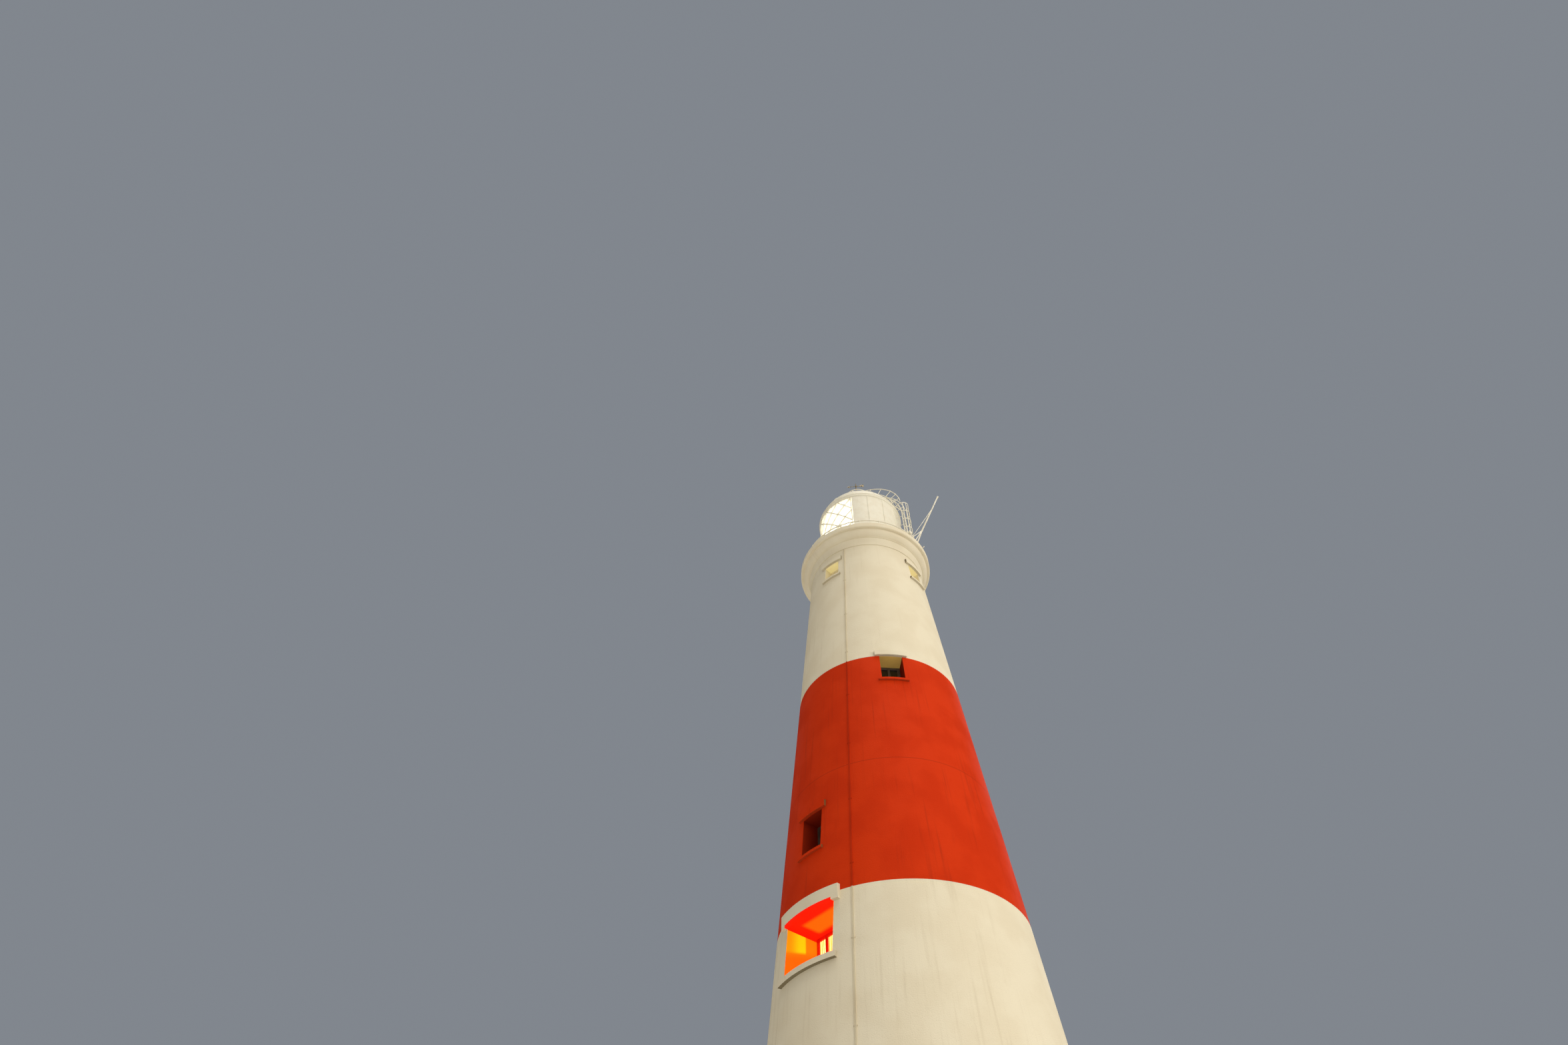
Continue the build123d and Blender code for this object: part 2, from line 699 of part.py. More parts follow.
def gutter():
    """The ring that ties the glazing's head, with a lip round its outside."""
    inner = LANTERN_R - GUTTER_WALL
    return turned_points([
        (inner, GLAZING_TOP),
        (LANTERN_R - GUTTER_LIP, GLAZING_TOP),
        (LANTERN_R, GLAZING_TOP + GUTTER_LIP),
        (LANTERN_R, ROOF_FOOT),
        (inner, ROOF_FOOT),
    ])


def dome():
    """The roof's shell, with a flat seat for the ventilator at its crown."""
    inner = DOME_R - DOME_SKIN
    under = VENT_SEAT - DOME_SKIN
    outer_foot = (LANTERN_R, ROOF_FOOT)
    outer_head = (VENT_SEAT_R, VENT_SEAT)
    inner_head = (sqrt(inner**2 - (under - DOME_CENTRE) ** 2), under)
    inner_foot = (sqrt(inner**2 - (ROOF_FOOT - DOME_CENTRE) ** 2), ROOF_FOOT)
    shell = (
        RadiusArc(outer_foot, outer_head, -DOME_R)
        + Polyline(outer_head, (VENT_THROAT_R, VENT_SEAT), (VENT_THROAT_R, under), inner_head)
        + RadiusArc(inner_head, inner_foot, inner)
        + Line(inner_foot, outer_foot)
    )
    return turned(shell)


def ventilator():
    """A hollow drum with a flared foot, an overhanging cowl and a ball on top."""
    flare = VENT_SEAT_R - VENT_DRUM_R
    body = turned_points([
        (VENT_THROAT_R, VENT_SEAT),
        (VENT_SEAT_R, VENT_SEAT),
        (VENT_SEAT_R, VENT_SEAT + flare / 2),
        (VENT_DRUM_R, VENT_SEAT + 2 * flare),
        (VENT_DRUM_R, VENT_DRUM_TOP),
        (VENT_COWL_R, VENT_DRUM_TOP + flare / 2),
        (VENT_COWL_R, VENT_DRUM_TOP + flare),
        (VENT_BALL_R / 2, VENT_COWL_TOP),
        (0, VENT_COWL_TOP),
        (0, VENT_COWL_TOP - VENT_WALL),
        (VENT_DRUM_R - VENT_WALL, VENT_DRUM_TOP),
    ])
    return joined([body, ball((0, 0, VENT_COWL_TOP + VENT_BALL_R / 2), VENT_BALL_R)])


def vane_blade(points):
    """A thin upright plate of the vane."""
    face = make_face(Plane.XZ * Polyline(*points, close=True))
    return extrude(face, VANE_BLADE_DEPTH / 2, both=True)


def wind_vane():
    """A spindle on the ventilator's ball with an arrow across it."""
    foot = VENT_COWL_TOP + VENT_BALL_R * 1.5
    top = foot + VANE_HEIGHT
    level = top - VANE_TAIL_HEIGHT
    tail_start = VANE_TAIL_REACH - VANE_TAIL_LENGTH
    neck = VANE_POINT_LENGTH - VANE_POINT_REACH
    tail = vane_blade([
        (tail_start, level),
        (VANE_TAIL_REACH, level + VANE_TAIL_HEIGHT / 2),
        (VANE_TAIL_REACH, level - VANE_TAIL_HEIGHT / 2),
    ])
    point = vane_blade([
        (-VANE_POINT_REACH, level),
        (neck, level + VANE_POINT_HEIGHT / 2),
        (neck, level - VANE_POINT_HEIGHT / 2),
    ])
    spindle = rod(Vector(0, 0, foot), Vector(0, 0, top), VANE_ROD)
    shaft_length = VANE_TAIL_REACH - neck
    shaft = Pos(neck + shaft_length / 2, 0, level) * Box(shaft_length, VANE_BLADE_DEPTH, VANE_ROD)
    return joined([spindle, shaft, tail, point])


def seat_r(skin, across, radius):
    """Distance at which a rod set off to one side just clears a round skin."""
    return sqrt(skin**2 - (abs(across) - radius) ** 2) + BED


def dome_point(angle, radius, across):
    """A point in the ladder's upright plane, at an angle and distance from the dome's centre."""
    a = radians(angle)
    return place(LADDER_BEARING, radius * cos(a), DOME_CENTRE + radius * sin(a), across)


def ladder_point(level, across):
    """A point on the upright part of the ladder."""
    return place(LADDER_BEARING, LADDER_R, level, across)


def ladder_end_angle():
    """Angle over the dome where the ladder stops short of the ventilator."""
    return degrees(atan2(sqrt(LADDER_R**2 - LADDER_END_R**2), LADDER_END_R))


def swept(path, across, radius):
    """A round bar along a path in the ladder's upright plane, moved sideways."""
    plane = Plane(
        origin=place(LADDER_BEARING, 0, 0, across),
        x_dir=place(LADDER_BEARING, 1, 0),
        z_dir=place(LADDER_BEARING, 0, 0, -1),
    )
    route = plane * path
    return sweep(Plane(origin=route @ 0, z_dir=route % 0) * Circle(radius), path=route)


def arc(radius, level, start, end):
    """An arc about a centre over the tower's axis, from one angle to another."""
    points = []
    for angle in (start, (start + end) / 2, end):
        a = radians(angle)
        points.append((radius * cos(a), level + radius * sin(a)))
    return ThreePointArc(*points)


def stile(across):
    """One side bar of the ladder: upright from the deck, then an arc over the dome."""
    upright = Line((LADDER_R, DECK_TOP), (LADDER_R, DOME_CENTRE))
    return swept(upright + arc(LADDER_R, DOME_CENTRE, 0, ladder_end_angle()), across, STILE_ROD)


def ladder_stays(across):
    """The short stays that hold one stile off the lantern and the dome."""
    stays = []
    levels = [(LANTERN_R, MURETTE_TOP - MURETTE_CAP_DEPTH - WALL_STAY_DROP)]
    levels += [(GLAZING_R, MURETTE_TOP + rise) for rise in PLATE_STAY_RISES]
    for skin, level in levels:
        foot = place(LADDER_BEARING, seat_r(skin, across, RUNG_ROD), level, across)
        stays.append(rod(foot, ladder_point(level, across), RUNG_ROD))
    for angle in ROOF_STAY_ANGLES:
        foot = dome_point(angle, seat_r(DOME_R, across, RUNG_ROD), across)
        stays.append(rod(foot, dome_point(angle, LADDER_R, across), RUNG_ROD))
    return stays


def ladder():
    """Stiles, rungs up the lantern and over the dome, and the stays that hold them off."""
    half = LADDER_HALF_WIDTH
    pieces = [stile(-half), stile(half)]
    for i in range(1, int((DOME_CENTRE - DECK_TOP) / RUNG_PITCH) + 1):
        level = DECK_TOP + i * RUNG_PITCH
        pieces.append(rod(ladder_point(level, -half), ladder_point(level, half), RUNG_ROD))
    turn = degrees(RUNG_PITCH / LADDER_R)
    for i in range(1, int(ladder_end_angle() / turn) + 1):
        ends = [dome_point(i * turn, LADDER_R, side) for side in (-half, half)]
        pieces.append(rod(*ends, RUNG_ROD))
    return joined(pieces + ladder_stays(-half) + ladder_stays(half))


def hoop_outline(radius, back):
    """A half ring with straight sides that reach back towards the ladder."""
    return make_face(
        ThreePointArc((-radius, -CAGE_CENTRE), (0, -CAGE_CENTRE - radius), (radius, -CAGE_CENTRE))
        + Polyline((radius, -CAGE_CENTRE), (radius, -back), (-radius, -back), (-radius, -CAGE_CENTRE))
    )


def hoop(level):
    """One hoop of flat bar, with toes that lie on the ladder's stiles."""
    toe = LADDER_HALF_WIDTH - STILE_ROD
    strip = CAGE_BACK + HOOP_THICK
    band = hoop_outline(CAGE_R, CAGE_BACK) - hoop_outline(CAGE_R - HOOP_THICK, strip)
    near = CAGE_BACK - HOOP_THICK
    far = strip + HOOP_THICK
    band -= make_face(Polyline((-toe, -near), (toe, -near), (toe, -far), (-toe, -far), close=True))
    return Rot(0, 0, LADDER_BEARING) * Pos(0, 0, level) * extrude(band, HOOP_HEIGHT)


def strap(angle, height):
    """An upright strap riveted inside the hoops."""
    radius = CAGE_R - HOOP_THICK - STRAP_THICK / 2
    bar = Box(
        STRAP_WIDTH, STRAP_THICK + 2 * STRAP_BITE, height, align=(Align.CENTER, Align.CENTER, Align.MIN)
    )
    in_cage = Pos(0, -CAGE_CENTRE, CAGE_FOOT) * Rot(0, 0, angle) * Pos(0, -radius, 0) * bar
    return Rot(0, 0, LADDER_BEARING) * in_cage


def cage():
    """The ladder's cage: hoops joined by straps."""
    height = (HOOP_COUNT - 1) * HOOP_PITCH + HOOP_HEIGHT
    hoops = [hoop(CAGE_FOOT + i * HOOP_PITCH) for i in range(HOOP_COUNT)]
    return joined(hoops + [strap(angle, height) for angle in STRAP_ANGLES])


def handrail_end_angle(across):
    """Angle at which a handrail meets the ring round the ventilator."""
    meet = sqrt(VENT_RING_R**2 - across**2)
    return degrees(atan2(sqrt(HANDRAIL_ARC_R**2 - meet**2), meet))


def stanchion(angle, across):
    """A post that stands square on the dome and carries the handrail at an angle of its arc."""
    out = HANDRAIL_ARC_R * cos(radians(angle))
    top = HANDRAIL_CENTRE + HANDRAIL_ARC_R * sin(radians(angle))
    share = seat_r(DOME_R, across, STANCHION_ROD) / hypot(out, top - DOME_CENTRE)
    foot = place(LADDER_BEARING, out * share, DOME_CENTRE + (top - DOME_CENTRE) * share, across)
    return rod(foot, place(LADDER_BEARING, out, top, across), STANCHION_ROD)


def side_rails(across):
    """The handrail and mid rail on one side of the roof ladder, with their stanchions."""
    mid_radius = HANDRAIL_ARC_R - MIDRAIL_DROP
    top_rail = arc(HANDRAIL_ARC_R, HANDRAIL_CENTRE, HANDRAIL_START_ANGLE, handrail_end_angle(across))
    mid_rail = arc(mid_radius, HANDRAIL_CENTRE, STANCHION_ANGLES[0], STANCHION_ANGLES[-1])
    rails = [swept(top_rail, across, HANDRAIL_ROD), swept(mid_rail, across, HANDRAIL_ROD)]
    return rails + [stanchion(angle, across) for angle in STANCHION_ANGLES]


def roof_rails():
    """Handrails each side of the roof ladder, and the ring round the ventilator they end on."""
    pieces = [ring_bar(VENT_RING_R, VENT_RING_LEVEL, HANDRAIL_ROD)]
    foot_z = DOME_CENTRE + sqrt(DOME_R**2 - (VENT_RING_R - STANCHION_ROD) ** 2) + BED
    for i in range(VENT_RING_POSTS):
        bearing = LADDER_BEARING + TURN * (i + 0.5) / VENT_RING_POSTS
        foot = place(bearing, VENT_RING_R, foot_z)
        pieces.append(rod(foot, place(bearing, VENT_RING_R, VENT_RING_LEVEL), STANCHION_ROD))
    return joined(pieces + side_rails(-HANDRAIL_ACROSS) + side_rails(HANDRAIL_ACROSS))


def mast_tubes(knee, tip):
    """Foot, head, radius and knobs of the legs, the strut and the stay, in the order of fitting."""
    feet = [place(MAST_BEARING + spread, FASCIA_R - LEG_INSET, KERB_TOP) for spread in (-LEG_SPREAD, LEG_SPREAD)]
    on_rail = place(STRUT_BEARING, RAIL_R, RAIL_LEVEL)
    strut_foot = on_rail + (knee - on_rail).normalized() * (RAIL_ROD + LEG_ROD + BED)
    stay_foot = place(STAY_BEARING, FASCIA_R - LEG_INSET, KERB_TOP)
    stay_head = knee + (tip - knee) * STAY_SHARE
    return [(foot, knee, LEG_ROD, ()) for foot in feet] + [
        (strut_foot, knee, LEG_ROD, ()),
        (stay_foot, stay_head, STAY_ROD, KNOB_SHARES),
    ]


def mast():
    """A leaning tube with a ball tip, and legs, a strut and a stay coped to seat on it and each other."""
    knee = place(MAST_BEARING, FASCIA_R + MAST_KNEE_REACH, KERB_TOP + MAST_KNEE_RISE)
    tip = place(MAST_BEARING, FASCIA_R + MAST_TIP_REACH, KERB_TOP + MAST_TIP_RISE)
    tubes = [joined([rod(knee, tip, MAST_ROD), ball(tip, MAST_BALL_R), ball(knee, MAST_CLAMP_R)])]
    taken = joined([rod(knee, tip, MAST_ROD + BED), ball(knee, MAST_CLAMP_R + BED)])
    under_kerb = floor_disc(KERB_TOP, 2 * FASCIA_R, 2 * MAST_BALL_R)
    for foot, head, radius, knobs in mast_tubes(knee, tip):
        tube = joined([rod(foot, head, radius)] + [ball(foot + (head - foot) * share, KNOB_R) for share in knobs])
        tubes.append(tube - taken - under_kerb)
        taken = taken.fuse(rod(foot, head, radius + BED))
    return Compound([solid for tube in tubes for solid in tube.solids()])


def pedestal():
    """The hollow stand under the optic, with a flange at its foot and its head."""
    inner = PEDESTAL_R - PEDESTAL_WALL
    return turned_points([
        (inner, DECK_TOP),
        (PEDESTAL_FLANGE_R, DECK_TOP),
        (PEDESTAL_FLANGE_R, DECK_TOP + PEDESTAL_FLANGE_DEPTH),
        (PEDESTAL_R, DECK_TOP + PEDESTAL_FLANGE_DEPTH),
        (PEDESTAL_R, PEDESTAL_TOP - PEDESTAL_FLANGE_DEPTH),
        (PEDESTAL_FLANGE_R, PEDESTAL_TOP - PEDESTAL_FLANGE_DEPTH),
        (PEDESTAL_FLANGE_R, PEDESTAL_TOP),
        (inner, PEDESTAL_TOP),
    ])


def optic():
    """A drum of stepped prism rings round the lamp."""
    pitch = OPTIC_HEIGHT / OPTIC_STEPS
    points = [(OPTIC_R, PEDESTAL_TOP)]
    for i in range(OPTIC_STEPS):
        low = PEDESTAL_TOP + i * pitch
        bulge = low if i >= OPTIC_STEPS / 2 else low + pitch
        points.append((OPTIC_R + OPTIC_STEP_DEPTH, bulge))
        points.append((OPTIC_R, low + pitch))
    points += [
        (OPTIC_R - OPTIC_WALL, OPTIC_TOP),
        (OPTIC_R - OPTIC_WALL, PEDESTAL_TOP + OPTIC_WALL),
        (0, PEDESTAL_TOP + OPTIC_WALL),
        (0, PEDESTAL_TOP),
    ]
    return turned_points(points)


low_light = low_light_window()
small = small_windows()
windows = [low_light] + small
doorway_hood = moulding(DOOR_WIDTH, DOOR_BEARING, common_hood(DOOR_HEAD))

nodes = {
    **wall_stage("lower_wall", 0.0, BAND_FOOT, windows, LOW_LIGHT_FLOOR_TOP, ground=True),
    **wall_stage("band_wall", BAND_FOOT, BAND_HEAD, windows),
    **wall_stage("upper_wall", BAND_HEAD, SHAFT_HEIGHT, windows, WATCH_FLOOR_TOP),
    **cornice(),
    "entrance_floor": shaft_floor(ENTRANCE_FLOOR_TOP),
    "low_light_floor": shaft_floor(LOW_LIGHT_FLOOR_TOP),
    "watch_room_floor": shaft_floor(WATCH_FLOOR_TOP),
    "lantern_floor": floor_disc(DECK_TOP, DECK_SLAB_R - BED, DECK_DEPTH),
    "low_light_hood": moulding(LOW_LIGHT_WIDTH, LOW_LIGHT_BEARING, low_light.hood),
    "low_light_sill": moulding(LOW_LIGHT_WIDTH, LOW_LIGHT_BEARING, low_light.sill),
    "low_light_frame": window_frame(low_light),
    "low_light_glass": Compound(light_blocks(low_light, PANE_DEPTH)),
    "window_hoods": Compound([moulding(w.width, w.bearing, w.hood) for w in small] + [doorway_hood]),
    "window_sills": Compound([moulding(w.width, w.bearing, w.sill) for w in small]),
    "window_frames": Compound([window_frame(w) for w in small]),
    "window_glass": Compound([pane for w in small for pane in light_blocks(w, PANE_DEPTH)]),
    "entrance_door_frame": door_frame(),
    "entrance_door": door_leaf(),
    "lightning_conductor": conductor(),
    "gallery_rail": gallery_rail(),
    "lantern_wall": murette(),
    "lantern_blank_plates": blank_plates(),
    "lantern_glazing_bars": glazing_bars(),
    "lantern_glass": lantern_glass(),
    "lantern_gutter": gutter(),
    "lantern_dome": dome(),
    "ventilator": ventilator(),
    "wind_vane": wind_vane(),
    "lantern_ladder": ladder(),
    "ladder_cage": cage(),
    "roof_handrails": roof_rails(),
    "aerial_mast": mast(),
    "optic_pedestal": pedestal(),
    "optic_lens": optic(),
}

os.makedirs("parts", exist_ok=True)
for name, shape in nodes.items():
    export_step(shape, f"parts/{name}.step")
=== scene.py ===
"""Finishes and fine pieces of a round lighthouse, a half-size model in metres.

A bearing is in degrees round the tower: 0 faces -Y, towards the camera, and 90 faces +X. A level is
a height over the ground. Every fine piece is worked out as whole numpy arrays.
"""

import json
import logging
from dataclasses import dataclass, replace
from enum import Enum

import bmesh
import bpy
import numpy as np
from mathutils import Matrix


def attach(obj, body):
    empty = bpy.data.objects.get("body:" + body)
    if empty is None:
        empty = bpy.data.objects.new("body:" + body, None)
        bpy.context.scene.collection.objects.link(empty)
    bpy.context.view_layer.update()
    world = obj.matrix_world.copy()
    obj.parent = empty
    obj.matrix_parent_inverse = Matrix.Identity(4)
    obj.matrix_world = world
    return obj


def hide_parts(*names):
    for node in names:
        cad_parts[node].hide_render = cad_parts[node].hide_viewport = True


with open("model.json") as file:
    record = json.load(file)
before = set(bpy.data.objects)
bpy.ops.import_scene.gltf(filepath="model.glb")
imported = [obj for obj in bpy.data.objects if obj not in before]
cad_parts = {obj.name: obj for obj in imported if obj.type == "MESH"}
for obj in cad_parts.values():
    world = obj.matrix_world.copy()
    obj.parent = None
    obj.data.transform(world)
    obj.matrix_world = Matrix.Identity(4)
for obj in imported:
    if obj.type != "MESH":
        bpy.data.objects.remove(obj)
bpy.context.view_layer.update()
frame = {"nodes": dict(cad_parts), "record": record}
LOG = logging.getLogger("lighthouse")
TURN = 360.0
UPRIGHT = np.array([0.0, 0.0, 1.0])
SIDE = np.array([1.0, 0.0, 0.0])
BOTH_WAYS = np.array([-1.0, 1.0])
SHARP_ANGLE = 38.0

# Levels, radii and bearings of the tower that several classes share
DECK_LEVEL = 16.450
KERB_LEVEL = 16.650
RAIL_LEVEL = 16.861
RAIL_RADIUS = 1.430
LANTERN_RADIUS = 1.045
GLAZING_RADIUS = 1.026
DOME_RADIUS = 1.0825
DOME_CENTRE = 18.2675
LADDER_BEARING = 70.0
DOOR_BEARING = 137.25
LOW_LIGHT_BEARING = -42.75
WATCH_ROOM_LEVEL = 14.5

Array = np.ndarray
Colour = tuple[float, float, float]
Outline = Array | list[tuple[float, float]]
Socket = bpy.types.NodeSocket


class Slot(Enum):
    """The record's material slots."""

    WHITE_RENDER = "white_render"
    RED_RENDER = "red_render"
    FLOOR = "floor_concrete"
    LOW_LIGHT_PAINT = "low_light_paint"
    RED_GLASS = "red_glass"
    FRAME_PAINT = "frame_paint"
    WINDOW_GLASS = "window_glass"
    DOOR_PAINT = "door_paint"
    WHITE_METAL = "white_metal"
    LANTERN_PAINT = "lantern_paint"
    LANTERN_GLASS = "lantern_glass"
    BRONZE = "bronze"
    PEDESTAL_PAINT = "pedestal_paint"
    LENS_GLASS = "lens_glass"


@dataclass(frozen=True)
class Cloud:
    """A noise made into soft patches: no cover below one of its values, and full cover above another."""

    scale: float
    detail: float
    low: float
    high: float


class Graph:
    """The node graph of one material."""

    def __init__(self, name: str) -> None:
        """Starts a material with its shader and the Object coordinates.

        Args:
            name: the material's name.
        """
        self.material = bpy.data.materials.new(name)
        self.material.use_nodes = True
        self.tree = self.material.node_tree
        self.tree.nodes.clear()
        self.shader = self.add("ShaderNodeBsdfPrincipled")
        output = self.add("ShaderNodeOutputMaterial")
        self.tree.links.new(self.shader.outputs["BSDF"], output.inputs["Surface"])
        self.coords = self.add("ShaderNodeTexCoord").outputs["Object"]
        self.level = self.upwards(self.coords)

    def add(self, kind: str, **settings: object) -> bpy.types.Node:
        """Adds a node.

        Args:
            kind: the node's type.
            settings: its properties by name.

        Returns:
            The node.
        """
        node = self.tree.nodes.new(kind)
        for key, value in settings.items():
            setattr(node, key, value)
        return node

    def feed(self, socket: Socket, value: object) -> None:
        """Links a socket to another one, or sets it to a plain value."""
        if isinstance(value, bpy.types.NodeSocket):
            self.tree.links.new(value, socket)
        else:
            socket.default_value = value

    def set(self, **sockets: object) -> None:
        """Feeds the shader's sockets, named with underscores for their spaces."""
        for key, value in sockets.items():
            if isinstance(value, tuple):
                value = (*value, 1.0)
            self.feed(self.shader.inputs[key.replace("_", " ")], value)

    def math(self, operation: str, *values: object) -> Socket:
        """The result of one sum of one to three numbers or sockets."""
        node = self.add("ShaderNodeMath", operation=operation)
        for socket, value in zip(node.inputs, values):
            self.feed(socket, value)
        return node.outputs[0]

    def product(self, first: Socket, *others: object) -> Socket:
        """Numbers or sockets multiplied together."""
        for other in others:
            first = self.math("MULTIPLY", first, other)
        return first

    def within(self, value: Socket, low: float, high: float) -> Socket:
        """1 where a value is between two limits, and 0 elsewhere."""
        return self.product(self.math("GREATER_THAN", value, low), self.math("LESS_THAN", value, high))

    def vector(self, operation: str, *values: object) -> Socket:
        """The result of one sum of vectors."""
        node = self.add("ShaderNodeVectorMath", operation=operation)
        for socket, value in zip(node.inputs, values):
            self.feed(socket, value)
        return node.outputs["Value" if operation in ("DOT_PRODUCT", "LENGTH") else "Vector"]

    def upwards(self, vector: Socket) -> Socket:
        """The z of a vector."""
        apart = self.add("ShaderNodeSeparateXYZ")
        self.feed(apart.inputs[0], vector)
        return apart.outputs[2]

    def noise(self, scale: float, detail: float, where: Socket | None = None) -> Socket:
        """A cloud of values about a half.

        Args:
            scale: the features to the metre.
            detail: the finer layers that it carries.
            where: the coordinates, if not the object's own.

        Returns:
            The value.
        """
        node = self.add("ShaderNodeTexNoise")
        self.feed(node.inputs["Scale"], scale)
        self.feed(node.inputs["Detail"], detail)
        self.feed(node.inputs["Vector"], where or self.coords)
        return node.outputs["Fac"]

    def patches(self, cloud: Cloud, where: Socket | None = None) -> Socket:
        """The cover of a cloud's soft patches, from 0 to 1."""
        return self.step(self.noise(cloud.scale, cloud.detail, where), cloud.low, cloud.high)

    def step(self, value: Socket, low: float, high: float) -> Socket:
        """A soft step from 0 at low to 1 at high, also where low is the larger."""
        node = self.add("ShaderNodeMapRange", interpolation_type="SMOOTHSTEP")
        self.feed(node.inputs["Value"], value)
        start, end = (low, high) if low < high else (high, low)
        self.feed(node.inputs["From Min"], start)
        self.feed(node.inputs["From Max"], end)
        if low > high:
            self.feed(node.inputs["To Min"], 1.0)
            self.feed(node.inputs["To Max"], 0.0)
        return node.outputs["Result"]

    def line(self, value: Socket, middle: float, half: float) -> Socket:
        """A thin line: 1 where the value is the middle, down to 0 at a half width from it."""
        away = self.math("ABSOLUTE", self.math("SUBTRACT", value, middle))
        return self.step(away, half, 0.0)

    def between(self, value: Socket, low: float, high: float, blur: float) -> Socket:
        """1 where a value is between two limits, with soft edges."""
        return self.product(
            self.step(value, low - blur, low + blur), self.step(value, high + blur, high - blur)
        )

    def mix(self, share: object, first: object, second: object) -> Socket:
        """A blend of two colours.

        Args:
            share: 0 for the first and 1 for the second.
            first: a colour or a socket.
            second: a colour or a socket.

        Returns:
            The blended colour.
        """
        node = self.add("ShaderNodeMix", data_type="RGBA")
        self.feed(node.inputs[0], share)
        for socket, colour in zip(node.inputs[6:8], (first, second)):
            self.feed(socket, (*colour, 1.0) if isinstance(colour, tuple) else colour)
        return node.outputs[2]

    def bump(self, height: Socket, depth: float) -> None:
        """Raises the surface by a height map times a depth in metres."""
        node = self.add("ShaderNodeBump")
        self.feed(node.inputs["Distance"], depth)
        self.feed(node.inputs["Height"], height)
        self.feed(self.shader.inputs["Normal"], node.outputs["Normal"])

    def facing(self) -> tuple[Socket, Socket]:
        """Where a face looks down, and where it looks along the wall, as its hood's end does.

        The first is the surface normal's z, and the second is its dot product with the level way
        round the tower, without its sign.

        Returns:
            Two soft steps up to 1.
        """
        normal = self.add("ShaderNodeNewGeometry").outputs["Normal"]
        way = self.vector("NORMALIZE", self.vector("CROSS_PRODUCT", tuple(UPRIGHT), self.coords))
        along = self.math("ABSOLUTE", self.vector("DOT_PRODUCT", normal, way))
        return self.step(self.upwards(normal), -0.45, -0.80), self.step(along, 0.70, 0.92)

    def round_wall(self, around: float, up: float) -> Socket:
        """Coordinates that follow a round wall, so that a pattern can be drawn out up it.

        The level way from the axis is made one long, then scaled, and the level is scaled apart.

        Args:
            around: the scale round the tower.
            up: the scale up it.

        Returns:
            The coordinates.
        """
        flat = self.vector("MULTIPLY", self.coords, (1.0, 1.0, 0.0))
        wide = self.vector("MULTIPLY", self.vector("NORMALIZE", flat), (around, around, 0.0))
        tall = self.vector("MULTIPLY", self.coords, (0.0, 0.0, up))
        return self.vector("ADD", wide, tall)


@dataclass(frozen=True)
class Shape:
    """A closed surface: its points, its faces' corners one face after another, and their counts."""

    points: Array
    corners: Array
    counts: Array

    def stamped(self, places: Array, axes: Array, up: Array = UPRIGHT) -> "Shape":
        """Copies of a shape, each with its own z axis along an axis.

        A copy's x axis is up x axis made one long, and its y axis is axis x x, so each point is
        place + x*X + y*Y + z*axis.

        Args:
            places: where the copies go, or one place.
            axes: their axes, one long, or one axis for all.
            up: the way that y leans to, one for all or one a copy.

        Returns:
            The copies as one shape.
        """
        places = np.atleast_2d(places)
        axes = np.broadcast_to(axes, places.shape)
        right = unit(np.cross(np.broadcast_to(up, axes.shape), axes))
        basis = np.stack([right, np.cross(axes, right), axes], axis=1)
        points = places[:, None] + self.points @ basis
        return repeated(points, self.corners, self.counts)

    def facing_out(self, radius: Array, level: Array, bearings: Array) -> "Shape":
        """Copies about the tower's axis, each with its own z axis outwards and its y axis up."""
        return self.stamped(around(radius, level, bearings), outward(bearings))

    def standing(self, places: Array) -> "Shape":
        """Upright copies, with their own y axis along x."""
        return self.stamped(places, UPRIGHT, SIDE)


def unit(vectors: Array) -> Array:
    """Vectors over their own lengths."""
    return vectors / np.linalg.norm(vectors, axis=-1, keepdims=True)


def combined(*values: object) -> list[Array]:
    """Every combination of some values, as one flat array for each of them."""
    return [grid.ravel() for grid in np.meshgrid(*values)]


def repeated(points: Array, corners: Array, counts: Array) -> Shape:
    """One shape of many alike: copy k's corners are the first one's plus k times its points."""
    copies, each = points.shape[:2]
    shifted = corners[None] + each * np.arange(copies)[:, None]
    return Shape(points.reshape(-1, 3), shifted.ravel(), np.tile(counts, copies))


def joined(*shapes: Shape) -> Shape:
    """Shapes side by side as one."""
    starts = np.cumsum([0, *(len(shape.points) for shape in shapes)])
    return Shape(
        np.concatenate([shape.points for shape in shapes]),
        np.concatenate([shape.corners + start for shape, start in zip(shapes, starts)]),
        np.concatenate([shape.counts for shape in shapes]),
    )


def skin(grid: Array, ring: bool = False) -> Shape:
    """The surface over a grid whose columns close, capped at its first and last row.

    Corner (i, j) is joined to (i, j+1), (i+1, j+1) and (i+1, j).

    Args:
        grid: points in rows and columns.
        ring: whether the last row is joined to the first, in place of caps.

    Returns:
        The closed surface.
    """
    rows, columns = grid.shape[:2]
    i, j = np.meshgrid(np.arange(rows if ring else rows - 1), np.arange(columns), indexing="ij")
    below, beside = (i + 1) % rows, (j + 1) % columns
    quads = [i * columns + j, i * columns + beside, below * columns + beside, below * columns + j]
    corners = np.stack(quads, axis=-1).ravel()
    counts = np.full(i.size, 4)
    if not ring:
        first, last = np.arange(columns)[::-1], np.arange(columns) + (rows - 1) * columns
        corners = np.concatenate([corners, first, last])
        counts = np.append(counts, [columns, columns])
    return Shape(grid.reshape(-1, 3), corners, counts)


def outward(bearings: Array) -> Array:
    """Level unit vectors at bearings: (sin b, -cos b, 0)."""
    turn = np.radians(bearings)
    return np.stack([np.sin(turn), -np.cos(turn), np.zeros_like(turn)], axis=-1)


def sideways(bearings: Array) -> Array:
    """Level unit vectors to the right of bearings: (cos b, sin b, 0)."""
    return outward(np.asarray(bearings) + TURN / 4)


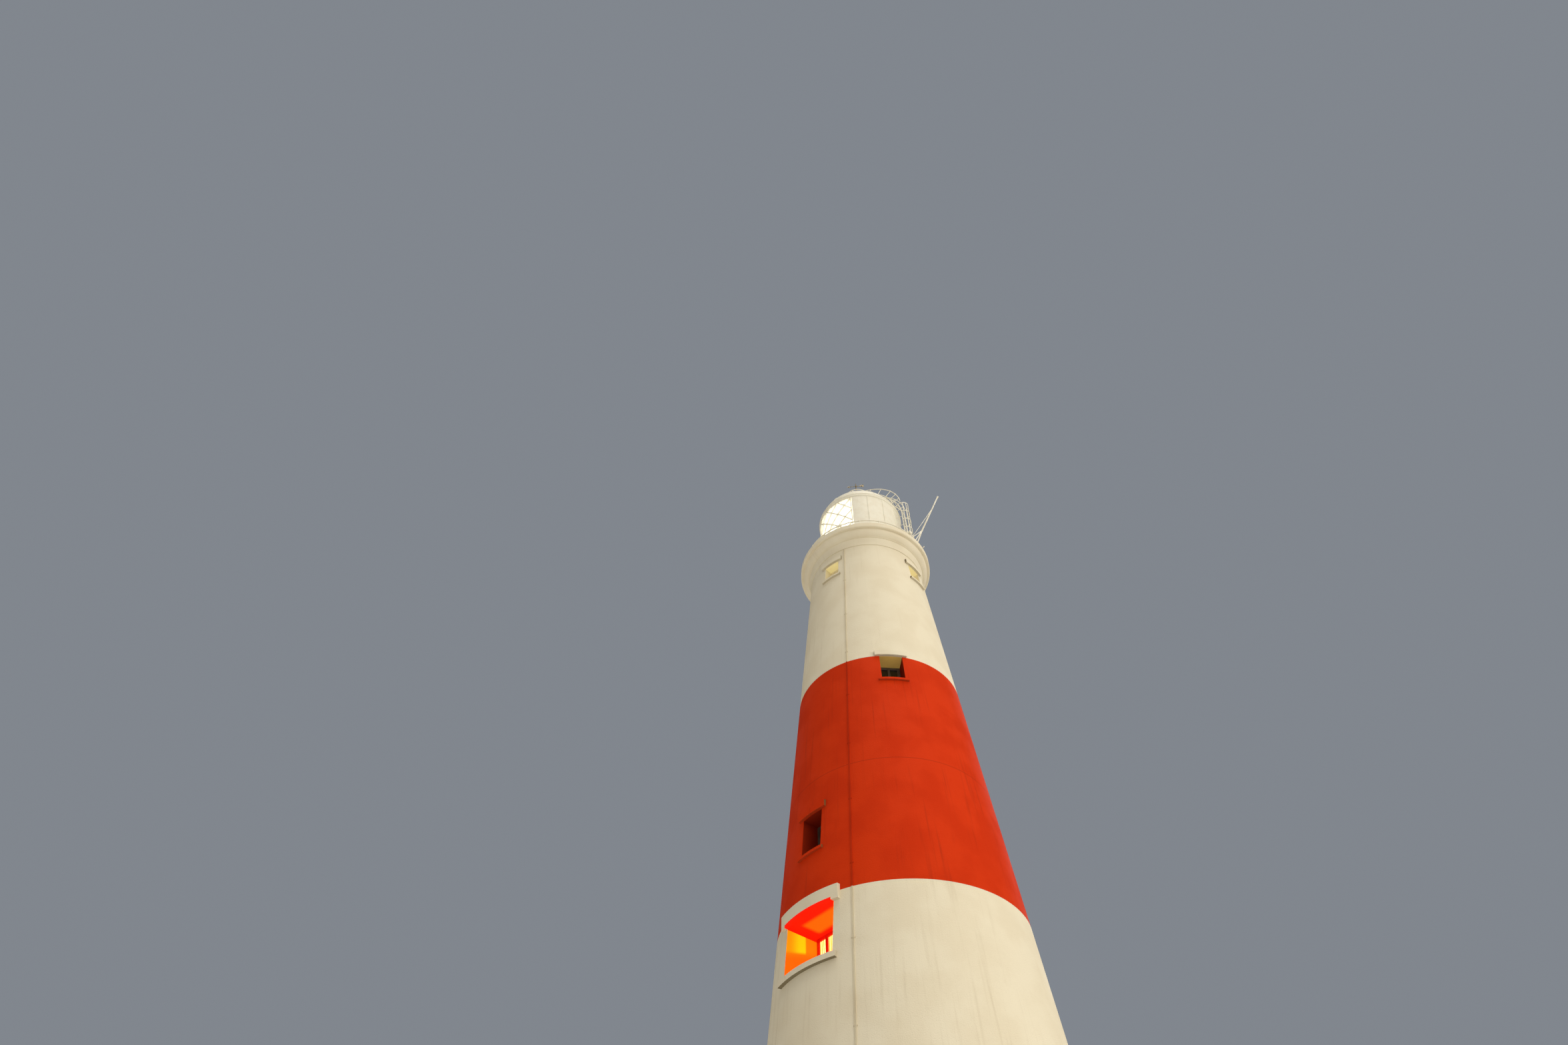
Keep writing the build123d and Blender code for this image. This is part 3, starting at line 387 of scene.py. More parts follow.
def around(radius: Array, level: Array, bearings: Array) -> Array:
    """Points about the tower's axis: the outward vector times a radius, at a level."""
    radius, level, bearings = np.broadcast_arrays(radius, level, bearings)
    points = outward(bearings.astype(float)) * radius[..., None]
    points[..., 2] = level
    return points


def bearings_round(count: int, start: float = 0.0) -> Array:
    """Bearings in even steps all the way round."""
    return start + np.arange(count) * TURN / count


def disc(radius: float, sides: int = 10) -> Array:
    """A round profile: a polygon's corners at (r cos t, r sin t)."""
    turn = np.arange(sides) * 2 * np.pi / sides
    return radius * np.stack([np.cos(turn), np.sin(turn)], axis=-1)


def oblong(width: float, depth: float, chamfer: float) -> Array:
    """A rectangle's profile with its four corners cut off."""
    x, y = width / 2, depth / 2
    near_x, near_y = x - chamfer, y - chamfer
    return np.array(
        [
            (x, -near_y), (x, near_y), (near_x, y), (-near_x, y),
            (-x, near_y), (-x, -near_y), (-near_x, -y), (near_x, -y),
        ]
    )


def swept(path: Array, profile: Outline, up: Array = UPRIGHT, ring: bool = False) -> Shape:
    """A profile carried along a path.

    At each point T is the path's direction, n is up x T made one long and b is T x n, and the
    profile's (x, y) goes to point + x*n + y*b.

    Args:
        path: the points to follow.
        profile: the closed section.
        up: the way that the profile's y leans to, one for all or one a point.
        ring: whether the path closes.

    Returns:
        The closed surface.
    """
    profile = np.asarray(profile)
    ahead = np.roll(path, -1, 0) - np.roll(path, 1, 0) if ring else np.gradient(path, axis=0)
    ahead = unit(ahead)
    level = unit(np.cross(np.broadcast_to(up, ahead.shape), ahead))
    rise = np.cross(ahead, level)
    across = profile[None, :, :1] * level[:, None]
    return skin(path[:, None] + across + profile[None, :, 1:] * rise[:, None], ring)


def hoop(radius: float, level: float, profile: Outline, sides: int = 96) -> Shape:
    """A level ring about the tower's axis: the profile's x is up and its y is outwards."""
    bearings = bearings_round(sides)
    return swept(around(radius, level, bearings), profile, outward(bearings), ring=True)


def lathe(profile: Outline, sides: int = 24, ring: bool = False) -> Shape:
    """A turned shape: each (radius, level) of the profile goes round the axis.

    Args:
        profile: the section, from one end to the other.
        sides: the points to the round.
        ring: whether the profile closes, in place of capped ends.

    Returns:
        The closed surface.
    """
    radius, level = np.asarray(profile).T[..., None]
    return skin(around(radius, level, bearings_round(sides)[None]), ring)


def tray(width: float, height: float, profile: Outline) -> Shape:
    """A mitred border in its own plane, x across, y up and z out.

    Corner (sx, sy) of profile point (p, q) is at (sx*(width/2 - p), sy*(height/2 - p), q).

    Args:
        width: the border's outer width.
        height: its outer height.
        profile: its section, as inset and rise.

    Returns:
        The closed border.
    """
    profile = np.asarray(profile)
    signs = np.array([(-1.0, -1.0), (1.0, -1.0), (1.0, 1.0), (-1.0, 1.0)])
    inset = np.array([width, height]) / 2 - profile[None, :, :1]
    flat = signs[:, None] * inset
    rise = np.broadcast_to(profile[None, :, 1:], flat[..., :1].shape)
    return skin(np.concatenate([flat, rise], axis=-1), ring=True)


def ball(radius: float, sides: int, rings: int = 9) -> Shape:
    """A ball about the origin, with a small flat at both poles."""
    turn = np.radians(np.linspace(-80.0, 80.0, rings))
    return lathe(radius * np.stack([np.cos(turn), np.sin(turn)], axis=-1), sides)


def rivet(radius: float, height: float, sides: int = 8) -> Shape:
    """A low domed head: three rings that narrow as they rise, on a capped foot."""
    profile = np.array([(1.0, -0.3), (1.0, 0.35), (0.72, 0.8), (0.3, 1.0)])
    return lathe(profile * (radius, height), sides)


def nut(radius: float, height: float) -> Shape:
    """A six-sided nut on a round washer, with the bolt's end standing out of it."""
    washer = lathe(np.array([(1.25, -0.2), (1.25, 0.2), (1.15, 0.3)]) * (radius, height), 12)
    body = lathe(np.array([(1.0, 0.25), (1.0, 0.9), (0.85, 1.0)]) * (radius, height), 6)
    end = lathe(np.array([(0.45, 0.9), (0.45, 1.3), (0.3, 1.4)]) * (radius, height), 8)
    return joined(washer, body, end)


@dataclass(frozen=True)
class Shaft:
    """The tapering wall that the strips, clips and windows are set against."""

    foot_radius: float = 2.594
    neck_radius: float = 1.285
    top: float = 16.130

    def radius(self, level: Array) -> Array:
        """The outer radius at a level, on the straight line from foot to neck."""
        return self.foot_radius + (self.neck_radius - self.foot_radius) * level / self.top

    def lean(self, bearing: float) -> tuple[Array, Array]:
        """The wall's outward normal and its upward slope at a bearing."""
        fall = (self.foot_radius - self.neck_radius) / self.top
        out = outward(bearing)
        return unit(out + fall * UPRIGHT), unit(UPRIGHT - fall * out)


@dataclass(frozen=True)
class Coat:
    """One colour of masonry paint: fresh, faded and stained."""

    fresh: Colour
    faded: Colour
    stained: Colour


CREAM_COAT = Coat((0.84, 0.768, 0.60), (0.80, 0.72, 0.55), (0.55, 0.45, 0.29))
RED_COAT = Coat((0.66, 0.040, 0.004), (0.60, 0.034, 0.004), (0.34, 0.022, 0.006))
# Painted shade: the conductor's strip is coated darker than the wall, in place of the shade along it.
STRIP_COAT = Coat((0.70, 0.62, 0.45), (0.64, 0.55, 0.39), (0.40, 0.32, 0.21))
RED_STRIP_COAT = Coat((0.50, 0.030, 0.004), (0.44, 0.026, 0.004), (0.26, 0.018, 0.006))


@dataclass(frozen=True)
class LitReveal:
    """The low-light window's reveal, with the light of the lamp behind its red glass painted on it as colour
    and glow.

    A point's way across is its dot product with the window's sideways direction, and its depth is the one
    with its outward direction. The painted pools of light on the jambs and the soffit are given by depths
    from the frame's plane or the wall's mouth, and the one on the jambs also by levels, which fall towards
    the mouth.
    """

    bearing: float = LOW_LIGHT_BEARING
    half_width: float = 0.518
    foot: float = 6.648
    head: float = 7.428
    plane: float = 1.356
    mouth: float = 1.900
    behind_plane: float = 0.1
    # The colours of the painted light, from red on the soffit to yellow by the frame.
    red: Colour = (1.0, 0.012, 0.002)
    orange: Colour = (1.0, 0.15, 0.003)
    amber: Colour = (1.0, 0.33, 0.004)
    yellow: Colour = (1.0, 0.68, 0.005)
    painted_light_base_share: float = 0.45
    glow: float = 0.75
    slope: float = -0.25
    jamb_depths: tuple[float, float] = (0.22, 0.4)
    jamb_levels: tuple[float, float] = (7.06, 7.40)
    low_levels: tuple[float, float] = (6.95, 7.12)
    yellow_depth: float = 0.3
    soffit_across: tuple[float, float] = (-0.34, 0.60)
    soffit_depths: tuple[float, float] = (0.10, -0.12)
    soffit_rise: float = 0.045

    def jambs(self, graph: Graph, depth: Socket) -> Socket:
        """The jambs' painted light: orange at the sill, amber over it, and a painted pool of light up to
        yellow by the frame.
        """
        inwards = graph.math("SUBTRACT", self.mouth, depth)
        level = graph.math("MULTIPLY_ADD", inwards, self.slope, graph.level)
        patch = graph.product(
            graph.between(depth, self.plane + self.jamb_depths[0], self.mouth + self.jamb_depths[1], 0.02),
            graph.between(level, *self.jamb_levels, 0.03),
        )
        towards_frame = graph.step(depth, self.mouth, self.plane + self.yellow_depth)
        middle = tuple(0.5 * (first + second) for first, second in zip(self.orange, self.amber))
        low = graph.mix(graph.step(level, *self.low_levels), self.orange, middle)
        return graph.mix(patch, low, graph.mix(towards_frame, self.amber, self.yellow))

    def soffit(self, graph: Graph, across: Socket, depth: Socket) -> Socket:
        """The soffit's painted light: red with an orange pool of light."""
        near, far = self.plane + self.soffit_depths[0], self.mouth + self.soffit_depths[1]
        patch = graph.product(
            graph.between(across, *self.soffit_across, 0.05), graph.between(depth, near, far, 0.05)
        )
        return graph.mix(patch, self.red, self.orange)

    def painted_lighting(self, graph: Graph) -> tuple[Socket, Socket]:
        """The reveal's painted light.

        Args:
            graph: the paint's graph.

        Returns:
            The share of it, which is 1 inside the reveal, and the colour.
        """
        across = graph.vector("DOT_PRODUCT", graph.coords, tuple(sideways(self.bearing)))
        depth = graph.vector("DOT_PRODUCT", graph.coords, tuple(outward(self.bearing)))
        over = graph.math("GREATER_THAN", graph.level, self.head - self.soffit_rise)
        colour = graph.mix(over, self.jambs(graph, depth), self.soffit(graph, across, depth))
        inside = graph.product(
            graph.math("LESS_THAN", graph.math("ABSOLUTE", across), self.half_width),
            graph.math("GREATER_THAN", graph.level, self.foot),
            graph.math("LESS_THAN", graph.level, self.head),
            graph.math("GREATER_THAN", depth, self.plane - self.behind_plane),
        )
        return inside, colour


@dataclass(frozen=True)
class SmallReveal:
    """The soffits and jambs of small windows, painted with light on some (a yellow tone and a glow) and with
    shade on others (a dark tone).

    A point is in a reveal where its distance from the axis is less than the wall's radius at its
    level, and its level is in one of the spans.
    """

    spans: tuple[tuple[float, float], ...]
    tone: Colour
    glow: float = 0.0
    jamb_share: float = 0.3
    painted_light_base_share: float = 1.0
    depth: float = 0.012
    shade_share: float = 0.8

    def painted_lighting(self, graph: Graph) -> tuple[Socket, Socket]:
        """The share of the reveal's painted light and shade, and its colour.

        Args:
            graph: the paint's graph.

        Returns:
            The share, which is less on the jambs than on the soffit, and the colour.
        """
        radius = graph.vector("LENGTH", graph.vector("MULTIPLY", graph.coords, (1.0, 1.0, 0.0)))
        shaft = Shaft()
        taper = (shaft.neck_radius - shaft.foot_radius) / shaft.top
        wall = graph.math("MULTIPLY_ADD", graph.level, taper, shaft.foot_radius - self.depth)
        inside = 0.0
        for low, high in self.spans:
            over = graph.math("GREATER_THAN", graph.level, low)
            under = graph.math("LESS_THAN", graph.level, high)
            inside = graph.math("MULTIPLY_ADD", over, under, inside)
        inside = graph.product(inside, graph.math("LESS_THAN", radius, wall))
        shade = tuple(self.shade_share * part for part in self.tone)
        tone = graph.mix(graph.noise(5.0, 3.0), self.tone, shade)
        # Painted light and shade by facing: the soffits, which look down, take more of it than the jambs.
        downwards, _ = graph.facing()
        share = graph.math("MULTIPLY_ADD", downwards, 1.0 - self.jamb_share, self.jamb_share)
        return graph.product(inside, share), tone


# Painted light in the watch room's reveals and the high stair window's soffit, painted shade in the stair
# windows' reveals on the band.
WATCH_REVEAL = SmallReveal(spans=((15.305, 15.775),), tone=(0.82, 0.71, 0.36), glow=0.42)
STAIR_SOFFIT = SmallReveal(spans=((12.31, 12.33),), tone=(0.66, 0.44, 0.11), glow=0.20)
STAIR_JAMBS = SmallReveal(spans=((8.44, 9.14), (11.72, 12.33)), tone=(0.30, 0.020, 0.004), jamb_share=1.0)


@dataclass(frozen=True)
class MasonryPaint:
    """Masonry paint on render: patched coats, rain streaks, damp at the ground and fine pits.

    Stains follow the streaks where the wall is worn, the damp and the joints between its lifts. Trim may also
    carry painted shade on its undersides and ends, and window reveals painted light and shade.
    """

    name: str
    coat: Coat
    band_coat: Coat | None = None
    band: tuple[float, float] = (7.530, 12.320)
    fading: Cloud = Cloud(1.7, 5.0, 0.36, 0.66)
    streaks: Cloud = Cloud(1.0, 6.0, 0.52, 0.78)
    streak_scales: tuple[float, float] = (34.0, 0.7)
    worn: Cloud = Cloud(0.6, 3.0, 0.40, 0.62)
    stain_share: float = 0.35
    damp: Cloud = Cloud(2.2, 4.0, 0.25, 0.85)
    damp_top: float = 1.4
    damp_share: float = 0.6
    joints: tuple[float, ...] = ()
    joint_half: float = 0.009
    joint_share: float = 0.8
    # Painted shade: a dark colour for the faces that look down and for the ends of hoods and sills.
    painted_shade: Colour | None = None
    end_shade: float = 0.80
    under_shade: float = 0.30
    reveals: tuple[LitReveal | SmallReveal, ...] = ()
    gloss: float = 0.04
    rough: float = 0.62
    faded_rough: float = 0.14
    pits: Cloud = Cloud(70.0, 3.0, 0.30, 0.52)
    brush_scales: tuple[float, float] = (160.0, 30.0)
    brush_height: float = 0.12
    wave_height: float = 2.2
    pit_depth: float = 0.0014

    def coated(self, graph: Graph, fading: Socket) -> tuple[Socket, object]:
        """The coat's colour and its stain's, with the band's own between its levels."""
        colour = graph.mix(fading, self.coat.fresh, self.coat.faded)
        stain = self.coat.stained
        if self.band_coat:
            inside = graph.within(graph.level, *self.band)
            colour = graph.mix(inside, colour, graph.mix(fading, self.band_coat.fresh, self.band_coat.faded))
            stain = graph.mix(inside, stain, self.band_coat.stained)
        return colour, stain

    def weathered(self, graph: Graph, colour: Socket, stain: object) -> Socket:
        """A coat with its streaks, its damp foot, its joints and the painted shade on its trim."""
        streaks = graph.patches(self.streaks, graph.round_wall(*self.streak_scales))
        share = graph.product(streaks, graph.patches(self.worn), self.stain_share)
        colour = graph.mix(share, colour, stain)
        damp = graph.product(graph.step(graph.level, self.damp_top, 0.0), graph.patches(self.damp))
        colour = graph.mix(graph.product(damp, self.damp_share), colour, stain)
        for level in self.joints:
            line = graph.line(graph.level, level, self.joint_half)
            colour = graph.mix(graph.product(line, self.joint_share), colour, stain)
        # Painted shade on undersides and on ends that face along the wall.
        if self.painted_shade:
            downwards, along = graph.facing()
            colour = graph.mix(graph.product(along, self.end_shade), colour, self.painted_shade)
            colour = graph.mix(graph.product(downwards, self.under_shade), colour, self.painted_shade)
        return colour

    def material(self) -> bpy.types.Material:
        """The paint as a node material."""
        graph = Graph(self.name)
        fading = graph.patches(self.fading)
        colour = self.weathered(graph, *self.coated(graph, fading))
        black = (0.0, 0.0, 0.0)
        warm, glow = black, 0.0
        # Painted light and shade in the window reveals: each reveal's colour goes into the base colour, and
        # its glow into the emission.
        for reveal in self.reveals:
            inside, tone = reveal.painted_lighting(graph)
            colour = graph.mix(inside, colour, graph.mix(reveal.painted_light_base_share, black, tone))
            warm = graph.mix(inside, warm, tone)
            glow = graph.math("MULTIPLY_ADD", inside, reveal.glow, glow)
        if any(reveal.glow for reveal in self.reveals):
            graph.set(Emission_Color=warm, Emission_Strength=glow)
        graph.set(Base_Color=colour, Specular_IOR_Level=self.gloss)
        graph.set(Roughness=graph.math("MULTIPLY_ADD", fading, self.faded_rough, self.rough))
        brush = graph.noise(1.0, 4.0, graph.round_wall(*self.brush_scales))
        height = graph.math("MULTIPLY_ADD", brush, self.brush_height, graph.patches(self.pits))
        height = graph.math("MULTIPLY_ADD", graph.noise(3.0, 2.0), self.wave_height, height)
        graph.bump(height, self.pit_depth)
        return graph.material


@dataclass(frozen=True)
class MetalPaint:
    """Gloss paint on iron: brush marks, chalky patches, and rust that runs down from the joints."""

    name: str
    colour: Colour
    shade: Colour
    high_colour: Colour | None = None
    chalk: Cloud = Cloud(7.0, 5.0, 0.38, 0.66)
    rust: Colour = (0.24, 0.085, 0.03)
    rust_share: float = 0.35
    runs: Cloud = Cloud(1.0, 5.0, 0.60, 0.74)
    run_scales: tuple[float, float] = (55.0, 2.2)
    run_share: float = 0.5
    spots: Cloud = Cloud(38.0, 6.0, 0.63, 0.72)
    rough: float = 0.34
    rusted_rough: float = 0.35
    gloss: float = 0.5
    brush_scales: tuple[float, float] = (240.0, 24.0)
    lump_height: float = 1.5
    relief: float = 0.0006

    def material(self) -> bpy.types.Material:
        """The paint as a node material."""
        graph = Graph(self.name)
        coat = graph.mix(graph.patches(self.chalk), self.colour, self.shade)
        if self.high_colour:
            high = graph.math("GREATER_THAN", graph.level, WATCH_ROOM_LEVEL)
            coat = graph.mix(high, coat, self.high_colour)
        runs = graph.patches(self.runs, graph.round_wall(*self.run_scales))
        rusted = graph.math("MAXIMUM", graph.product(runs, self.run_share), graph.patches(self.spots))
        coat = graph.mix(graph.product(rusted, self.rust_share), coat, self.rust)
        graph.set(Base_Color=coat, Specular_IOR_Level=self.gloss)
        graph.set(Roughness=graph.math("MULTIPLY_ADD", rusted, self.rusted_rough, self.rough))
        brush = graph.noise(1.0, 3.0, graph.round_wall(*self.brush_scales))
        height = graph.math("MULTIPLY_ADD", graph.noise(30.0, 3.0), self.lump_height, brush)
        graph.bump(graph.math("ADD", height, rusted), self.relief)
        return graph.material


@dataclass(frozen=True)
class Concrete:
    """Trowelled concrete: cloudy grey with fine grit."""

    name: str
    colour: Colour
    shade: Colour
    clouds: Cloud = Cloud(4.0, 6.0, 0.32, 0.68)
    grit_scale: float = 140.0
    grit_cover: tuple[float, float] = (0.6, 0.75)
    grit_share: float = 0.6
    relief: float = 0.0015

    def material(self) -> bpy.types.Material:
        """The concrete as a node material."""
        graph = Graph(self.name)
        clouds = graph.patches(self.clouds)
        grit = graph.noise(self.grit_scale, 3.0)
        coat = graph.mix(clouds, self.colour, self.shade)
        dark = tuple(self.grit_share * part for part in self.shade)
        graph.set(Base_Color=graph.mix(graph.step(grit, *self.grit_cover), coat, dark))
        graph.set(Roughness=graph.math("MULTIPLY_ADD", clouds, 0.2, 0.7))
        graph.bump(graph.math("MULTIPLY_ADD", clouds, 2.0, grit), self.relief)
        return graph.material


@dataclass(frozen=True)
class Pane:
    """Glass with a film of salt, which lets part of what is behind it through and may glow.

    Panes from the watch room up may have a pale colour and a glow of their own, which are painted light, and
    a lit pane may have prisms pressed in it: upright lines, so many to the metre across the low-light window.
    """

    name: str
    colour: Colour
    salt: Colour
    cover: float
    glow: Colour | None = None
    glow_strength: float = 0.0
    high_glow_colour: Colour | None = None
    high_glow: float = 0.0
    prisms: float = 0.0
    prism_way: tuple[float, float, float] = (0.7343, -0.6788, 0.0)
    prism_edge: tuple[float, float] = (0.18, 0.34)
    prism_shade: Colour = (1.0, 0.20, 0.01)
    film: Cloud = Cloud(9.0, 6.0, 0.42, 0.70)
    film_cover: float = 0.10
    film_rough: float = 0.18
    rough: float = 0.06
    relief: float = 0.0008

    def pressed(self, graph: Graph, lit: Socket) -> Socket:
        """A lit pane's colour with the darker lines between its prisms."""
        along = graph.product(graph.vector("DOT_PRODUCT", graph.coords, self.prism_way), self.prisms)
        wave = graph.math("ABSOLUTE", graph.math("SUBTRACT", graph.math("FRACT", along), 0.5))
        return graph.mix(graph.step(wave, *self.prism_edge), lit, self.prism_shade)

    def material(self) -> bpy.types.Material:
        """The glass as a node material."""
        graph = Graph(self.name)
        film = graph.patches(self.film)
        colour = graph.mix(film, self.colour, self.salt)
        # Painted light: panes over the watch room's level are pale and glow.
        if self.high_glow_colour:
            high = graph.math("GREATER_THAN", graph.level, WATCH_ROOM_LEVEL)
            colour = graph.mix(high, colour, self.high_glow_colour)
            graph.set(Emission_Color=self.high_glow_colour, Emission_Strength=graph.product(high, self.high_glow))
        if self.glow:
            lit = graph.mix(film, self.glow, self.salt)
            lit = self.pressed(graph, lit) if self.prisms else lit
            graph.set(Emission_Color=lit, Emission_Strength=self.glow_strength)
        graph.set(Base_Color=colour, IOR=1.5, Coat_Weight=0.4, Coat_Roughness=0.03)
        graph.set(Roughness=graph.math("MULTIPLY_ADD", film, self.film_rough, self.rough))
        graph.set(Alpha=graph.math("MULTIPLY_ADD", film, self.film_cover, self.cover))
        graph.bump(graph.noise(22.0, 2.0), self.relief)
        return graph.material


@dataclass(frozen=True)
class Brass:
    """Bare brass or bronze, browned by the sea air and rubbed bright in patches."""

    name: str
    colour: Colour
    tarnish: Colour
    dulling: Cloud = Cloud(24.0, 6.0, 0.36, 0.64)
    rough: float = 0.22
    dull_rough: float = 0.3
    relief: float = 0.0003

    def material(self) -> bpy.types.Material:
        """The metal as a node material."""
        graph = Graph(self.name)
        dull = graph.patches(self.dulling)
        graph.set(Base_Color=graph.mix(dull, self.colour, self.tarnish), Metallic=1.0)
        graph.set(Roughness=graph.math("MULTIPLY_ADD", dull, self.dull_rough, self.rough))
        graph.bump(graph.noise(120.0, 4.0), self.relief)
        return graph.material


@dataclass(frozen=True)
class DoorPaint:
    """Oil paint over planks: the grain runs up the door and shows through the gloss."""

    name: str
    colour: Colour
    shade: Colour
    grain_scales: tuple[float, float, float] = (60.0, 60.0, 2.5)
    worn: Cloud = Cloud(6.0, 5.0, 0.42, 0.70)
    rough: float = 0.30
    worn_rough: float = 0.25
    relief: float = 0.0012

    def material(self) -> bpy.types.Material:
        """The paint as a node material."""
        graph = Graph(self.name)
        grain = graph.noise(1.0, 6.0, graph.vector("MULTIPLY", graph.coords, self.grain_scales))
        worn = graph.patches(self.worn)
        graph.set(Base_Color=graph.mix(worn, self.colour, self.shade))
        graph.set(Roughness=graph.math("MULTIPLY_ADD", worn, self.worn_rough, self.rough))
        graph.bump(grain, self.relief)
        return graph.material


FINISHES = {
    # The render's window reveals carry painted light and shade.
    Slot.WHITE_RENDER: MasonryPaint(
        "cream_masonry_paint", CREAM_COAT, reveals=(LitReveal(), WATCH_REVEAL, STAIR_SOFFIT)
    ),
    Slot.RED_RENDER: MasonryPaint(
        "orange_red_masonry_paint", RED_COAT, stain_share=0.45, joints=(9.80,), reveals=(STAIR_JAMBS,)
    ),
    Slot.FLOOR: Concrete("trowelled_concrete", colour=(0.42, 0.41, 0.39), shade=(0.34, 0.33, 0.31)),
    Slot.LOW_LIGHT_PAINT: MetalPaint(
        "red_window_paint", colour=(0.74, 0.016, 0.006), shade=(0.62, 0.014, 0.006), rust_share=0.1
    ),
    Slot.RED_GLASS: Pane(
        "lit_red_glass",
        colour=(0.95, 0.45, 0.08),
        salt=(1.0, 0.86, 0.50),
        cover=0.94,
        glow=(1.0, 0.72, 0.22),
        glow_strength=2.0,
        prisms=24.0,
    ),
    Slot.FRAME_PAINT: MetalPaint(
        "window_paint",
        colour=(0.075, 0.055, 0.042),
        shade=(0.11, 0.085, 0.065),
        high_colour=(0.80, 0.72, 0.52),
    ),
    Slot.WINDOW_GLASS: Pane(
        "window_glass_film_and_glow",
        colour=(0.008, 0.007, 0.006),
        salt=(0.018, 0.015, 0.012),
        cover=0.92,
        high_glow_colour=(0.80, 0.70, 0.40),
        high_glow=0.5,
    ),
    Slot.DOOR_PAINT: DoorPaint("blue_grey_door_paint", colour=(0.13, 0.18, 0.24), shade=(0.20, 0.25, 0.30)),
    Slot.WHITE_METAL: MetalPaint(
        "cream_rail_paint",
        colour=(0.88, 0.84, 0.71),
        shade=(0.84, 0.79, 0.66),
        rust_share=0.10,
        rough=0.42,
        gloss=0.3,
        relief=0.0002,
    ),
    Slot.LANTERN_PAINT: MetalPaint(
        "cream_lantern_paint",
        colour=(0.86, 0.82, 0.69),
        shade=(0.83, 0.78, 0.64),
        rust_share=0.16,
        rough=0.45,
        gloss=0.25,
    ),
    Slot.LANTERN_GLASS: Pane(
        "lantern_glass_lit",
        colour=(0.90, 0.94, 0.90),
        salt=(1.0, 0.97, 0.88),
        cover=0.45,
        glow=(1.0, 0.96, 0.84),
        glow_strength=1.1,
    ),
    Slot.BRONZE: Brass("weathered_bronze", colour=(0.30, 0.23, 0.13), tarnish=(0.12, 0.11, 0.08)),
    Slot.PEDESTAL_PAINT: MetalPaint(
        "green_pedestal_paint", colour=(0.06, 0.16, 0.11), shade=(0.05, 0.12, 0.09), rust_share=0.1, rough=0.2
    ),
    Slot.LENS_GLASS: Pane(
        "lit_lens_glass",
        colour=(0.95, 0.97, 0.92),
        salt=(1.0, 0.98, 0.90),
        cover=0.75,
        glow=(1.0, 0.95, 0.80),
        glow_strength=4.5,
    ),
}
MATERIALS = {slot: finish.material() for slot, finish in FINISHES.items()}
# Painted shade for the undersides and ends of hoods and sills.
PAINTED_SHADE = (0.13, 0.095, 0.035)
BANDED = MasonryPaint("banded_trim_paint", CREAM_COAT, RED_COAT, painted_shade=PAINTED_SHADE).material()
HOOD = MasonryPaint(
    "low_light_hood_paint", CREAM_COAT, painted_shade=PAINTED_SHADE, end_shade=0.15, under_shade=0.10, reveals=(LitReveal(),)
).material()
SILL = MasonryPaint(
    "low_light_sill_paint", CREAM_COAT, painted_shade=PAINTED_SHADE, end_shade=0.35, under_shade=0.80, reveals=(LitReveal(),)
).material()
# Painted shade: the conductor's strip and clips take the darker coats.
STRIP = MasonryPaint("banded_strip_paint", STRIP_COAT, RED_STRIP_COAT).material()
OWN_FINISH = {
    "window_hoods": BANDED,
    "window_sills": BANDED,
    "low_light_hood": HOOD,
    "low_light_sill": SILL,
    "lightning_conductor": STRIP,
}


def add_piece(
    name: str,
    shape: Shape,
    slot: Slot,
    replaces: tuple[str, ...] = (),
    material: bpy.types.Material | None = None,
) -> None:
    """Puts a shape into the scene as a piece of the building.

    Args:
        name: the piece's name.
        shape: its surface.
        slot: the material slot that gives its finish.
        replaces: the CAD nodes that it stands for.
        material: its finish, where that isn't the slot's own.
    """
    mesh = bpy.data.meshes.new(name)
    mesh.vertices.add(len(shape.points))
    mesh.vertices.foreach_set("co", shape.points.astype(np.float32).ravel())
    mesh.loops.add(len(shape.corners))
    mesh.polygons.add(len(shape.counts))
    starts = np.concatenate([[0], np.cumsum(shape.counts)[:-1]]).astype(np.int32)
    mesh.polygons.foreach_set("loop_start", starts)
    mesh.polygons.foreach_set("vertices", shape.corners.astype(np.int32))
    mesh.update(calc_edges=True)
    mesh.validate()
    work = bmesh.new()
    work.from_mesh(mesh)
    bmesh.ops.recalc_face_normals(work, faces=work.faces)
    work.to_mesh(mesh)
    work.free()
    mesh.shade_smooth()
    mesh.set_sharp_from_angle(angle=np.radians(SHARP_ANGLE))
    mesh.materials.append(material or MATERIALS[slot])
    piece = bpy.data.objects.new(name, mesh)
    bpy.context.scene.collection.objects.link(piece)
    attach(piece, "root")
    if replaces:
        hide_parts(*replaces)
    LOG.info("%s: %d faces, finish %s", name, len(mesh.polygons), slot.value)


@dataclass(frozen=True)
class Opening:
    """One window opening: its place in the wall and its row of lights."""

    bearing: float
    width: float
    foot: float
    head: float
    setback: float
    lights: int
    border: float = 0.048
    bar: float = 0.034

    @property
    def middle(self) -> float:
        """The level halfway up the opening."""
        return (self.foot + self.head) / 2

    def plane(self, shaft: Shaft) -> float:
        """How far the frame's outer face is from the tower's axis."""
        radius = shaft.radius(self.middle)
        return float(np.sqrt(radius**2 - (self.width / 2) ** 2)) - self.setback

    def light_width(self) -> float:
        """The width of each light."""
        clear = self.width - 2 * self.border - (self.lights - 1) * self.bar
        return clear / self.lights

    def light_middles(self, shaft: Shaft) -> Array:
        """The middle of each light on the frame's outer face."""
        pitch = self.light_width() + self.bar
        across = (np.arange(self.lights) - (self.lights - 1) / 2) * pitch
        start = outward(self.bearing) * self.plane(shaft) + UPRIGHT * self.middle
        return start + across[:, None] * sideways(self.bearing)


